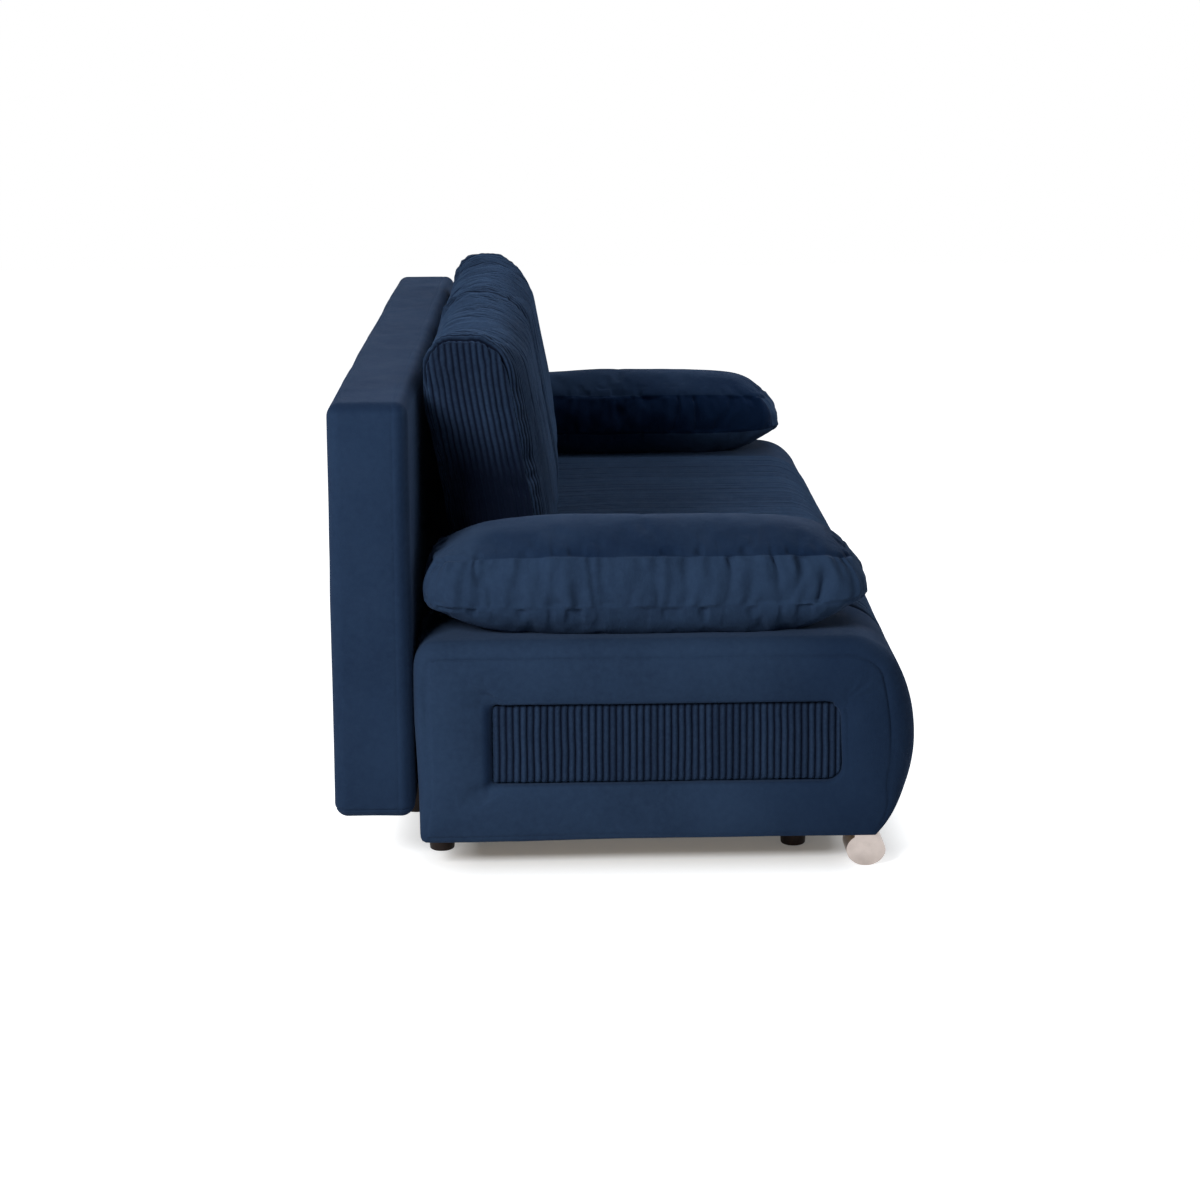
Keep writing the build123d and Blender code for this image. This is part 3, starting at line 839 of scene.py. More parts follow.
def block_relief(points, number, face, edge, normals, seam_strength, pocket_box, seed):
    """How far the block's cloth stands out: swells, creases, seams and small tugs."""
    place = points[:, 1:]
    on_face = ease((points[:, 0] - block_high.x + 0.03) / 0.02)
    press = block_creases(place, *pocket_box, seed) * on_face
    for ring, depth in zip(number[face.start:], (0.0009, 0.0022, 0.0009)):
        press[ring] += depth * seam_strength
    across = np.linspace(0, 1, face.stop - face.start)[:, None]
    face_swell, rear_swell, rear_middle = 0.0058, 0.0042, 0.235
    swell = np.zeros(len(points))
    swell[number[face]] = face_swell * np.sin(math.pi * across) ** 0.8
    on_rear = groove(points[:, 2] - block_low.z - rear_middle, 0.16) * (normals[:, 1] > 0.5)
    swell += rear_swell * on_rear
    drift = lumps(points, 0.13, seed + 5) * 0.0010 + lumps(points, 0.045, seed + 6) * 0.0004
    seam_height = edge[np.argmax(block_line[:, 1]), 1]
    tugs = groove(points[:, 2] - seam_height, 0.03) * on_face
    tugs = tugs * lumps(points, (0.2, 0.028, 0.09), seed + 7) * 0.0009
    rear_corner = np.array([block_high.y - 0.02, block_high.z - 0.03])
    gathers = groove(np.linalg.norm(place - rear_corner, axis=1), 0.05) * on_face
    gathers = gathers * lumps(points, (0.02, 0.013, 0.05), seed + 8) * 0.0022
    free = ease((block_high.z - points[:, 2]) / 0.004) * 0.7 + 0.3
    return swell - press + (drift + tugs + gathers) * free


def lower_foot(points, side):
    """Let the cloth sag at the foot, and leave room for the end board under the block."""
    foot_height = 0.05
    near_foot = ease((block_low.z + foot_height - points[:, 2]) / foot_height)
    near_foot *= ease((points[:, 0] - block_high.x + 0.12) / 0.06)
    foot_sag = 0.001 + 0.0045 * ease((points[:, 1] + 0.2) / 0.5)
    points[:, 2] -= foot_sag * near_foot
    board_low, board_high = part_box(f"end_board_{side}")
    board_x = sorted((abs(board_low.x), abs(board_high.x)))
    under = points[:, 2] < block_low.z + 0.003
    under &= (points[:, 0] > board_x[0]) & (points[:, 0] < board_x[1])
    under &= (points[:, 1] > board_low.y) & (points[:, 1] < board_high.y)
    points[under, 2] = block_low.z + 0.005


def block_nap(points, sign, low, high, seed):
    """Painted shade on the block's velour: an even darkening, more toward the front and in a band
    just behind the pocket.
    """
    nap = 0.29 + 0.2 * ease((-0.12 - points[:, 1]) / 0.3)
    nap += 0.03 * lumps(points * (sign, 1, 1), 0.09, seed)
    # painted shade in a band just behind the pocket's rear edge
    beside_pocket = ease((high.z + 0.012 - points[:, 2]) / 0.02)
    beside_pocket *= ease((points[:, 2] - low.z + 0.012) / 0.02)
    return nap + 0.30 * groove(points[:, 1] - high.y - 0.010, 0.014) * beside_pocket


def make_end_block(side):
    """One padded end of the base."""
    sign = 1 if side == "right" else -1
    seed = 21 if side == "right" else 20
    panel_low, panel_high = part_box(f"inset_panel_{side}")
    pocket = pocket_outline(f"inset_panel_{side}", run_counts)
    line_y, height = block_line[:, 0], block_line[:, 1] - block_low.z
    toward_front = ease((0.05 - (line_y - block_low.y)) / 0.06)
    toward_rear = ease((line_y - block_high.y + 0.02) / 0.02)
    roll = 0.029 + 0.017 * toward_front - 0.006 * toward_rear
    foot_roll = 0.005 + 0.007 * ease((line_y - block_low.y - 0.3) / 0.3)
    roll = foot_roll + (roll - foot_roll) * ease(height / 0.09)
    rim = 0.009 + 0.011 * ease((pocket[:, 0] - panel_high.y + 0.02) / 0.018)
    points, face, edge = block_rings(block_low.x, block_high.x, roll, rim, pocket)
    number = np.arange(len(points)).reshape(-1, len(block_line))

    normals = mesh_normals(points, side_quads(np.column_stack([number, number[:, 0]]), True))
    seam_strength = ease((height - 0.12) / 0.08) * (1 - toward_rear)
    pocket_box = (panel_low, panel_high)
    shift = block_relief(points, number, face, edge, normals, seam_strength, pocket_box, seed)
    points = points + normals * shift[:, None]
    points[:, 2] = np.minimum(points[:, 2], block_high.z + 0.0005)
    lower_foot(points, side)
    # painted shade on the block, kept in the mesh for the velour's colour
    nap = block_nap(points, sign, panel_low, panel_high, seed + 9)
    name = f"end_block_cover_{side}"
    block = make_tube(name, points, number, velour, mirror=sign < 0, nap=nap)
    dress(block, "base", "velour", 0.9, f"end_block_{side}")


for side in ("left", "right"):
    make_end_block(side)

# %% [markdown]
# ## The ribbed panels
#
# The panel in each pocket is thick corduroy: upright cords about a centimetre wide, round on top,
# with narrow grooves between them. A bump map would look right only from the front, so the cords
# are modelled, eight grid columns to each. Cut cloth is never regular, so each cord differs a
# little in height and shade and wanders by half a millimetre.

# %% Ribbed panels
cord_pitch = 0.0120


def cord_shape(phase):
    """Height of a cord across its width: 0 in the groove and 1 on the crest."""
    return np.abs(np.sin(math.pi * phase)) ** 0.7


def cord_lines(low, high, columns):
    """Phase and place of the grid lines across some cords, with this many columns to each."""
    cords = round((high - low) / cord_pitch)
    phase = np.linspace(0, cords, cords * columns + 1)
    return phase, low + (high - low) * phase / cords


def per_cord(phase, low, high, seed):
    """One random value for each cord."""
    table = np.random.default_rng(seed).uniform(low, high, 400)
    return table[np.floor(phase + 1e-6).astype(int) % 400]


def corner_margin(distance, radius):
    """How far a rounded corner is cut back at a distance from the side."""
    reach = np.clip(1 - distance / radius, 0, 1)
    return radius * (1 - np.sqrt(1 - reach ** 2))


def close_back(points, number, back_x):
    """A panel's points with a flat back added behind its rim, and all its faces."""
    faces = [list(quad) for quad in side_quads(number, outward=True)]
    rim = [*number[:, 0], *number[-1, 1:], *number[-2::-1, -1], *number[0, -2:0:-1]]
    back = points[rim].copy()
    back[:, 0] = back_x
    first, count = len(points), len(rim)
    for k in range(count):
        after = (k + 1) % count
        faces.append([rim[after], rim[k], first + k, first + after])
    faces.append([first + k for k in range(count)][::-1])
    return np.concatenate([points, back]), faces


def make_inset_panel(side):
    """The ribbed panel in one end block's pocket."""
    low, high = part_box(f"inset_panel_{side}")
    floor_x, outer_x = sorted((abs(low.x), abs(high.x)))
    seed = 31 if side == "left" else 32
    phase, y_line = cord_lines(low.y, high.y, columns=8)
    even = np.linspace(0, 1, 41)
    share = 0.25 * (1 - np.cos(math.pi * even)) + 0.5 * even
    front_corner, rear_corner = 0.026, 0.007
    margin = corner_margin(y_line - low.y, front_corner)
    margin += corner_margin(high.y - y_line, rear_corner)
    z_bottom, z_top = (low.z + margin)[:, None], (high.z - margin)[:, None]
    z = z_bottom + (z_top - z_bottom) * share[None, :]
    y = np.broadcast_to(y_line[:, None], z.shape)
    inside = np.minimum.reduce([z - z_bottom, z_top - z, y - low.y + 0.002, high.y - y + 0.002])
    edge_roll, groove_depth = 0.011, 0.0048
    rolled = np.sqrt(np.clip(1 - (1 - np.clip(inside / edge_roll, 0, 1)) ** 2, 0, 1))

    flat = np.stack([np.zeros_like(y), y, z], -1)
    cord = cord_shape(phase)[:, None]
    tone = per_cord(phase, 0.78, 1.0, seed)[:, None]
    uneven = lumps(flat, (1, 0.012, 0.02), seed) * 0.0006
    uneven += lumps(flat, (1, 0.09, 0.07), seed + 1) * 0.0012
    each_cord = per_cord(phase, -0.6, 0.6, seed + 2)[:, None] * 0.0012
    height = outer_x - floor_x - groove_depth * (1 - cord) + uneven + each_cord * cord
    height = height * rolled
    wander = lumps(flat, (1, 0.05, 0.035), seed + 3) * 0.0007
    grid = np.stack([floor_x + 0.0005 + height, y + wander * rolled, z], -1)

    number = np.arange(y.size).reshape(y.shape)
    points, faces = close_back(grid.reshape(-1, 3), number, floor_x + 0.0001)
    values = np.zeros(len(points))
    # painted shade: the stored value darkens the grooves and the edges that roll down into the
    # pocket, with a tone for each cord
    values[:y.size] = (cord * tone * (0.35 + 0.65 * rolled)).ravel()
    name = f"ribbed_panel_{side}"
    panel = make_piece(name, points, faces, corduroy, mirror=side == "left", cord=values)
    dress(panel, "base", "corduroy", 0.8, f"inset_panel_{side}")


for side in ("left", "right"):
    make_inset_panel(side)

# %% [markdown]
# ## The seat
#
# The seat between the blocks is a sprung foam box in one corduroy cover, which runs over the
# shoulder and down the rolled front. It uses the same side view as the blocks. The cords run from
# back to front, so the side view is repeated along X, six columns to a cord, and each column is
# raised or lowered along the surface's own outward direction. The middle swells a few millimetres,
# as a sprung seat does, and the cover dips where it is sewn to the blocks.

# %% Seat cover
def seat_outline(low, high, deck_top, front_board):
    """Closed side view of the seat, with the room that the boards take left out."""
    full = base_outline(
        low.y, low.z, high.z, high.y, high.y, rear_bend=0.04, counts=(160, 100, 120, 60),
    )
    above = full[(full[:, 1] > deck_top) | (full[:, 0] < front_board)]
    above = np.roll(above, -nearest(above, (front_board, low.z)), axis=0)
    hidden = [(high.y, deck_top), (front_board, deck_top), (front_board, low.z)]
    return above, resample(np.array(hidden), step=0.02)[1:]


def seat_rise(place, from_end, low, high, phase):
    """How far the seat's cloth stands out from its side view."""
    x, y, z = np.moveaxis(place, -1, 0)
    seam_reach, seam_dip, groove_depth = 0.011, 0.010, 0.0026
    pull_in = seam_dip * corner_margin(from_end, seam_reach) / seam_reach
    middle = 1 - (2 * x / (high.x - low.x)) ** 4
    on_top = ease((z - high.z + 0.03) / 0.03) * ease((0.16 - y) / 0.2)
    crown = 0.006 * middle * on_top * ease((y - low.y - 0.03) / 0.1)
    belly = 0.003 * middle * ease((low.y + 0.06 - y) / 0.05)
    cord = cord_shape(phase)[:, None]
    uneven = lumps(place, (0.16, 0.2, 0.2), 40) * 0.0016
    uneven += lumps(place, (0.012, 0.05, 0.05), 41) * 0.0004
    each_cord = per_cord(phase, -1, 1, 42)[:, None] * 0.0005
    return crown + belly + uneven - groove_depth * (1 - cord) + each_cord * cord - pull_in


def clear_guides(place):
    """Draw the cloth in where the lift guides stand behind the seat."""
    for side in ("left", "right"):
        guide_low, guide_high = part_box(f"lift_guide_{side}")
        beside = place[..., 0] > guide_low.x - 0.001
        beside &= place[..., 0] < guide_high.x + 0.001
        clear_y = np.minimum(place[..., 1], guide_low.y - 0.0006)
        place[..., 1] = np.where(beside, clear_y, place[..., 1])


def make_seat_cover():
    """The corduroy cover of the seat and its rolled front."""
    low, high = (Vector(corner) for corner in union_box("seat_pad", "seat_front"))
    deck_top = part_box("seat_deck")[1].z + 0.0005
    front_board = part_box("front_board")[0].y - 0.0005
    shown, hidden = seat_outline(low, high, deck_top, front_board)
    line = np.concatenate([shown, hidden])
    is_shown = np.concatenate([np.ones(len(shown)), np.zeros(len(hidden))])

    phase, x_line = cord_lines(low.x, high.x, columns=6)
    axes = np.broadcast_arrays(x_line[:, None], line[None, :, 0], line[None, :, 1])
    place = np.stack(axes, -1)
    from_end = from_sides(place, low, high, [0])
    rise = seat_rise(place, from_end, low, high, phase) * is_shown
    place[..., 1:] += line_normals(line) * rise[..., None]
    place[..., 0] += lumps(place, (0.3, 0.11, 0.11), 43) * 0.0008 * ease(from_end / 0.05)
    clear_guides(place)
    place[..., 1] = np.minimum(place[..., 1], high.y)

    # painted shade: the stored value darkens the grooves, with a tone for each cord
    shade = cord_shape(phase) * per_cord(phase, 0.85, 1.0, 44)
    values = (shade[:, None] * is_shown).ravel()
    number = np.arange(rise.size).reshape(rise.shape)
    seat = make_tube("seat_cover", place.reshape(-1, 3), number, corduroy, cord=values)
    dress(seat, "base", "corduroy", 0.8, "seat_pad", "seat_front")


make_seat_cover()

# %% [markdown]
# ## Letting cloth settle
#
# A stuffed cover is sewn a little larger than its filling lets it be. The seams hold their length,
# the panels between them have cloth to spare, and the filling pushes outward, so the spare cloth
# stands in folds beside the seams. Blender's cloth solver does the same when the seams are pinned,
# the panels may grow a few percent, and pressure replaces the filling. Gravity is off, and no point
# may move further than a limit, so the cushion keeps its size.

# %% Cloth helper
def seam_points(sides, names, count):
    """1 on the outlines of some sides of a box grid, 0 elsewhere."""
    held = np.zeros(count)
    for rim in (sides[name] for name in names):
        for edge in (rim[0], rim[-1], rim[:, 0], rim[:, -1]):
            held[edge] = 1
    return held


def settle_cloth(points, quads, held, loose, *, pressure, growth, limit, bending, frames=20):
    """Places after the cloth has swelled. Held points keep still and loose ones grow more."""
    mesh = bpy.data.meshes.new("cloth")
    mesh.from_pydata(points.tolist(), [], quads.tolist())
    cloth_piece = bpy.data.objects.new("cloth", mesh)
    bpy.context.scene.collection.objects.link(cloth_piece)
    for name, share in (("held", held), ("loose", loose)):
        group = cloth_piece.vertex_groups.new(name=name)
        group.add(np.nonzero(share)[0].tolist(), 1.0, "REPLACE")
    cloth = cloth_piece.modifiers.new("cloth", "CLOTH")
    settings = cloth.settings
    settings.quality = 4
    settings.mass = 0.25
    settings.tension_stiffness = 12
    settings.compression_stiffness = 12
    settings.shear_stiffness = 4
    settings.bending_stiffness = bending
    settings.air_damping = 2
    settings.use_pressure = True
    settings.uniform_pressure_force = pressure
    settings.vertex_group_shrink = "loose"
    settings.shrink_min = -growth[0]
    settings.shrink_max = -growth[1]
    settings.effector_weights.gravity = 0
    settings.vertex_group_mass = "held"
    cloth.collision_settings.use_collision = False
    scene = bpy.context.scene
    for number in range(1, frames + 1):
        scene.frame_set(number)
    evaluated = cloth_piece.evaluated_get(bpy.context.evaluated_depsgraph_get())
    moved = np.zeros(len(points) * 3)
    evaluated.data.vertices.foreach_get("co", moved)
    scene.frame_set(1)
    bpy.data.objects.remove(cloth_piece)
    travel = moved.reshape(-1, 3) - points
    length = np.linalg.norm(travel, axis=1, keepdims=True)
    mean_mm, most_mm = length.mean() * 1000, length.max() * 1000
    print(f"cloth moved {mean_mm:.1f} mm on average, {most_mm:.1f} mm at most")
    points = points + travel * limit / (limit + np.maximum(length - 0.4 * limit, 0))
    return smooth_out(points, quads, 0.5 * (1 - held))


def smooth_out(points, quads, share, rounds=2):
    """Ease out folds too small for the mesh, by averaging each point with its neighbours."""
    for _ in range(rounds):
        total = np.zeros_like(points)
        count = np.zeros(len(points))
        for i in range(4):
            here, after = quads[:, i], quads[:, (i + 1) % 4]
            np.add.at(total, here, points[after])
            np.add.at(total, after, points[here])
            np.add.at(count, here, 1)
            np.add.at(count, after, 1)
        points = points + share[:, None] * (total / count[:, None] - points)
    return points


def finer_rows(count, factor):
    """Weights that turn evenly spaced points into a smooth curve with more points."""
    places = np.arange((count - 1) * factor + 1) / factor
    first = np.minimum(places.astype(int), count - 2)
    t = places - first
    weights = np.zeros((len(places), count))
    parts = (
        (-1, -0.5 * t + t ** 2 - 0.5 * t ** 3),
        (0, 1 - 2.5 * t ** 2 + 1.5 * t ** 3),
        (1, 0.5 * t + 2 * t ** 2 - 1.5 * t ** 3),
        (2, -0.5 * t ** 2 + 0.5 * t ** 3),
    )
    rows = np.arange(len(places))
    for step, weight in parts:
        column = first + step
        inside = (column >= 0) & (column < count)
        weights[rows[inside], column[inside]] += weight[inside]
        for outside, end, beside in ((column < 0, 0, 1), (column >= count, count - 1, count - 2)):
            weights[rows[outside], end] += 2 * weight[outside]
            weights[rows[outside], beside] -= weight[outside]
    return weights


def finer_box(values, sides, factors):
    """Sides of a finer box grid, and values per point carried over to it."""
    counts = (sides["top"].shape[0], sides["top"].shape[1], sides["left"].shape[1])
    fine_sides = box_sides([(count - 1) * factor + 1 for count, factor in zip(counts, factors)])
    rows = [finer_rows(count, factor) for count, factor in zip(counts, factors)]
    fine = np.zeros((1 + max(number.max() for number in fine_sides.values()), values.shape[1]))
    for name, number in sides.items():
        first, second = side_axes(name)
        along_first = np.tensordot(rows[first], values[number], axes=(1, 0))
        fine[fine_sides[name]] = np.matmul(rows[second], along_first)
    return fine_sides, fine


def squeeze_corners(first, second, first_span, second_span, radius):
    """Turn a square outline, and the rings inside it, into one with round corners."""
    core_first = np.clip(first, first_span[0] + radius, first_span[1] - radius)
    core_second = np.clip(second, second_span[0] + radius, second_span[1] - radius)
    reach_first = first - core_first
    reach_second = second - core_second
    length = np.hypot(reach_first, reach_second)
    longest = np.maximum(np.abs(reach_first), np.abs(reach_second))
    share = longest / np.maximum(length, 1e-9)
    return core_first + reach_first * share, core_second + reach_second * share


def crease(value, width=0.16):
    """1 along the lines where a noise value passes through zero, falling off on both sides."""
    return np.exp(-(value / width) ** 2)


print("the finer grid has", finer_rows(5, 3).shape[0], "points for every 5")

# %% [markdown]
# ## The back cushions
#
# Two loose cushions lean on the slab. Their foot stands forward and their round top rests against
# it. Each is a corduroy wrap, with upright cords on its face and cords over its top, closed by a
# ribbed end panel. The wrap bulges past the end seam and gathers along it.
#
# The form is bent from a box grid, the cloth solver swells it between its seams, a finer grid is
# laid over the result, and only then are the cords raised: a solver mesh fine enough for cords
# would take minutes. The second cushion is the first one's mirror image with other folds.

# %% Back cushions
cushion_lean = 0.058               # how much further back the top stands than the foot
pressed_in = 0.0002                # how far a cushion's underside may sink below its box


def back_cushion_form(points, low, high):
    """Bend box points into the leaning cushion."""
    x, y, z = points.T
    foot_radius, top_radius, end_radius = 0.035, 0.068, 0.015
    front, rear = low.y, high.y - cushion_lean
    depth = front + (y - low.y) * (rear - front) / (high.y - low.y)
    from_rim = np.minimum.reduce([depth - front, rear - depth, z - low.z, high.z - z])
    radius = np.where(z > (low.z + high.z) / 2, top_radius, foot_radius)
    round_depth, round_z = squeeze_corners(depth, z, (front, rear), (low.z, high.z), radius)
    from_end = np.minimum(x - low.x, high.x - x)
    end_reach = np.maximum(end_radius - from_end, 0)
    rim_reach = np.maximum(end_radius - from_rim, 0)
    length = np.maximum(np.hypot(end_reach, rim_reach), 1e-9)
    scale = np.where(np.minimum(end_reach, rim_reach) > 0, end_radius / length, 1.0)
    to_end = from_end + end_reach * (1 - scale)
    inset = rim_reach * (1 - scale)
    out_depth = round_depth - np.clip(depth, front + radius, rear - radius)
    out_z = round_z - np.clip(z, low.z + radius, high.z - radius)
    out = np.maximum(np.hypot(out_depth, out_z), 1e-9)
    round_depth -= inset * out_depth / out
    round_z -= inset * out_z / out
    new_x = np.where(x - low.x < high.x - x, low.x + to_end, high.x - to_end)

    height = (round_z - low.z) / (high.z - low.z)
    across = (new_x - (low.x + high.x) / 2) / (high.x - low.x) * 2
    toward_front = 1 - (round_depth - front) / (rear - front)
    lean = cushion_lean * ease(height * 0.9 + 0.05) + 0.012 * height ** 3
    swell = 1 - np.abs(across) ** np.where(across < 0, 14.0, 3.2)
    front_swell = 0.022 * swell * toward_front * ease(height / 0.12)
    new_y = round_depth + lean - front_swell + 0.010 * toward_front
    outer = ease((across - 0.55) / 0.4)
    new_z = round_z + (0.006 * swell + 0.011 * outer) * ease((height - 0.8) / 0.2)
    return np.column_stack([new_x, new_y, new_z]), round_depth


def end_seam_folds(place, low, high, seed):
    """How far the cloth stands out or in beside the end seams, by its place on the box."""
    from_end = from_sides(place, low, high, [0])
    from_rim = from_sides(place, low, high, [1, 2])
    seam = groove(np.maximum(from_end, from_rim), 0.010)
    reach = np.exp(-np.maximum(from_end, 0) / 0.045) * (from_rim < 1e-6)
    on_end = np.exp(-from_rim / 0.030) * (from_end < 1e-6)
    folds = lumps(place, (0.12, 0.019, 0.022), seed)
    folds += 0.6 * lumps(place, (0.08, 0.011, 0.012), seed + 1)
    broad = lumps(place, (0.13, 0.10, 0.11), seed + 2)
    wrap = (from_rim < 1e-6) * ease(from_end / 0.03)
    wrinkles = crease(lumps(place, (0.045, 0.12, 0.16), seed + 3))
    wrinkles *= ease(lumps(place, (0.2, 0.1, 0.1), seed + 4) + 0.6)
    rolls = lumps(place, (0.030, 0.16, 0.18), seed + 6)
    soft = wrap * (0.0012 * rolls - 0.0022 * wrinkles)
    seam_depth = 0.0045
    return folds * (0.0032 * reach + 0.0022 * on_end) + broad * 0.0022 + soft - seam_depth * seam


def raise_cords(points, quads, sides, cords_x, end_phase, seed, depth=0.0036):
    """Points moved along their outward direction so that each panel shows its cords."""
    count_x, count_z = sides["front"].shape
    phase_x = np.linspace(0, cords_x, count_x)
    crest = np.zeros(len(points))
    tone = np.ones(len(points))
    lift = np.zeros(len(points))
    for name in ("front", "back", "bottom", "top"):
        crest[sides[name]] = cord_shape(phase_x)[:, None]
        tone[sides[name]] = per_cord(phase_x, 0.86, 1.0, seed + 2)[:, None]
    rows = np.arange(1, count_z - 1)[None, :] / (count_z - 1)
    fade = np.sqrt(np.clip(np.minimum(rows, 1 - rows) / 0.025, 0, 1))
    # Painted shade: the stored value darkens the grooves and, on the end panels, the colour toward
    # their foot.
    painted_foot_shade = 1 - 0.75 * ease((0.78 - rows) / 0.40)
    for name in ("left", "right"):
        inner = sides[name][1:-1, 1:-1]
        phase = end_phase[inner]
        crest[inner] = cord_shape(phase) * fade
        tone[inner] = per_cord(phase, 0.8, 1.0, seed) * painted_foot_shade
        lift[inner] = per_cord(phase, -0.0008, 0.0008, seed + 1) * fade
    normals = mesh_normals(points, quads)
    return points + normals * (lift - depth * (1 - crest))[:, None], crest * tone


def settled_back_cushion(low, high, cords_x, height_steps=56):
    """The right-hand cushion after its cloth has settled.

    Gives the sides of its fine grid and, per point, the place, the place on the box and the depth.
    """
    cords_y = round((high.y - low.y - 0.05) / cord_pitch)
    share = np.linspace(0, 1, height_steps + 1)
    share = share + 0.035 * np.sin(2 * math.pi * share)
    sides, quads, box_place = box_grid([
        np.linspace(low.x, high.x, cords_x * 2 + 1),
        np.linspace(low.y, high.y, cords_y * 2 + 1),
        low.z + (high.z - low.z) * (1 - share[::-1]),
    ])
    points, depth = back_cushion_form(box_place, low, high)
    held = seam_points(sides, ("left", "right"), len(points))
    held[sides["bottom"]] = 1
    loose = np.zeros(len(points))
    points = settle_cloth(
        points, quads, held, loose, pressure=3.0, growth=(0.02, 0.02), limit=0.012, bending=1.5,
    )
    fine_sides, fine = finer_box(np.column_stack([points, box_place, depth]), sides, (3, 3, 2))
    return fine_sides, fine[:, :3], fine[:, 3:6], fine[:, 6]


def make_back_cushions():
    """Both back cushions from one settled form."""
    low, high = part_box("back_cushion_right")
    cords_x = round((high.x - low.x) / cord_pitch)
    sides, form, place, depth = settled_back_cushion(low, high, cords_x)
    quads = box_quads(sides)
    end_phase = (depth - low.y) / cord_pitch
    normals = mesh_normals(form, quads)
    rear_bulge = 0.003
    for side, seed in (("left", 60), ("right", 70)):
        points = form + normals * end_seam_folds(place, low, high, seed)[:, None]
        points, cord = raise_cords(points, quads, sides, cords_x, end_phase, seed + 5)
        points[:, 2] = np.maximum(points[:, 2], low.z - pressed_in)
        points[:, 1] = np.minimum(points[:, 1], high.y + rear_bulge)
        name = f"back_cushion_cover_{side}"
        cushion = make_piece(name, points, quads, corduroy, mirror=side == "left", cord=cord)
        dress(cushion, "base", "corduroy", 0.6, f"back_cushion_{side}")


make_back_cushions()

# %% [markdown]
# ## The arm cushions
#
# A long loose cushion lies on each end block. It is boxed: a crowned top panel and a flatter bottom
# one are sewn to a band that runs all round. Velour is slippery and its stuffing soft, so the band
# stands in upright folds between its two seams, more of them at the pinched rear end, and the
# panels pucker beside the seams.

# %% Arm cushions
band_bottom = 0.056              # above the cushion's underside
band_top = 0.146


def arm_cushion_form(box_place, low, high):
    """Bend box points into a boxed cushion with a crowned top and round noses."""
    x, y, z = box_place.T
    corner = 0.058
    rise = (z - low.z) / (high.z - low.z)
    on_panel = from_sides(box_place, low, high, [0, 1]) > 1e-9
    on_top = (rise > 0.9999) & on_panel
    on_bottom = (rise < 0.0001) & on_panel
    plan_x, plan_y = squeeze_corners(x, y, (low.x, high.x), (low.y, high.y), corner)
    middle_x, middle_y = (low.x + high.x) / 2, (low.y + high.y) / 2
    half_x, half_y = (high.x - low.x) / 2, (high.y - low.y) / 2
    share_x = (plan_x - middle_x) / half_x
    share_y = (plan_y - middle_y) / half_y
    toward_front = share_y < 0

    taper_x = 0.006 * (1 - rise) ** 2 + 0.018 * rise ** 2.2
    taper_y = 0.006 * (1 - rise) ** 2 + np.where(toward_front, 0.034, 0.020) * rise ** 2.2
    new_x = middle_x + (plan_x - middle_x) * (1 - taper_x / half_x)
    new_y = middle_y + (plan_y - middle_y) * (1 - taper_y / half_y)
    seam_low, seam_high = low.z + band_bottom, low.z + band_top

    def hill(power_x, root_x, power_y, root_y):
        flank_x = (1 - np.abs(share_x) ** power_x) ** root_x
        return np.nan_to_num(flank_x * (1 - np.abs(share_y) ** power_y) ** root_y)

    dome = hill(2.3, 0.62, np.where(toward_front, 5.0, 3.2), 0.85)
    bowl = hill(3.0, 0.7, np.where(toward_front, 3.4, 2.6), 0.7)
    new_z = seam_low + rise * (seam_high - seam_low)
    new_z = np.where(on_top, seam_high + (high.z - seam_high) * dome, new_z)
    bottom_z = seam_low - (seam_low - low.z) * np.clip(bowl * 1.25, 0, 1)
    new_z = np.where(on_bottom, bottom_z, new_z)
    front = ease((middle_y - 0.12 - new_y) / 0.28)
    new_z = new_z + 0.006 * front ** 2 * (1 - rise) * (~on_top)
    tail = ease((new_y - high.y + 0.16) / 0.16)
    nose = ease((low.y + 0.13 - new_y) / 0.12)
    pinch_middle = low.z + 0.085
    pinched = 1 - 0.20 * tail ** 2 - 0.24 * nose ** 2
    new_z = pinch_middle + (new_z - pinch_middle) * pinched
    return np.column_stack([new_x, new_y, new_z])


def band_folds(place, low, high, seed):
    """Upright folds in the band and puckers beside its seams, by the place on the box."""
    from_rim = from_sides(place, low, high, [0, 1])
    flat = place - np.array([(low.x + high.x) / 2, (low.y + high.y) / 2, 0])
    rise = (place[:, 2] - low.z) / (high.z - low.z)
    on_band = (from_rim < 1e-9).astype(float)
    slant = flat.copy()
    slant[:, 1] += 0.05 * (rise - 0.5) * lumps(flat, (0.2, 0.16, 1), seed + 9)
    upright = lumps(slant, (0.024, 0.024, 0.34), seed)
    sharp = lumps(slant, (0.014, 0.014, 0.20), seed + 1)
    shown = ease(lumps(flat, (0.05, 0.05, 0.10), seed + 5) * 0.9 + 0.6)
    lines = crease(lumps(slant, (0.042, 0.042, 0.36), seed + 6), 0.20) * shown
    gathered = 1 + 0.4 * ease((place[:, 1] - high.y + 0.09) / 0.07)
    near_seams = 1 + 0.6 * groove(rise, 0.22) + 0.6 * groove(rise - 1, 0.22)
    near_seams *= 1 - 0.8 * groove(rise, 0.09) - 0.6 * groove(rise - 1, 0.06)
    folds = (upright * 0.0042 + sharp * 0.0022 - lines * 0.0062) * gathered * near_seams
    puckers = lumps(flat * np.array([1, 1, 0]), (0.017, 0.017, 1), seed + 2)
    puckers = np.where(puckers > 0.1, puckers - 0.1, 0) * 0.009
    reach = np.exp(-from_rim / (0.020 + 0.012 * lumps(flat, (0.05, 0.05, 1), seed + 3)))
    broad = lumps(place, (0.10, 0.13, 0.2), seed + 4) * 0.0026
    seams = on_band * (groove(rise, 0.05) + groove(rise - 1, 0.05))
    seams += (1 - on_band) * groove(from_rim, 0.004)
    seam_depth = 0.0016
    relief = folds * on_band - puckers * (1 - on_band) * reach + broad
    return relief - seam_depth * np.clip(seams, 0, 1)


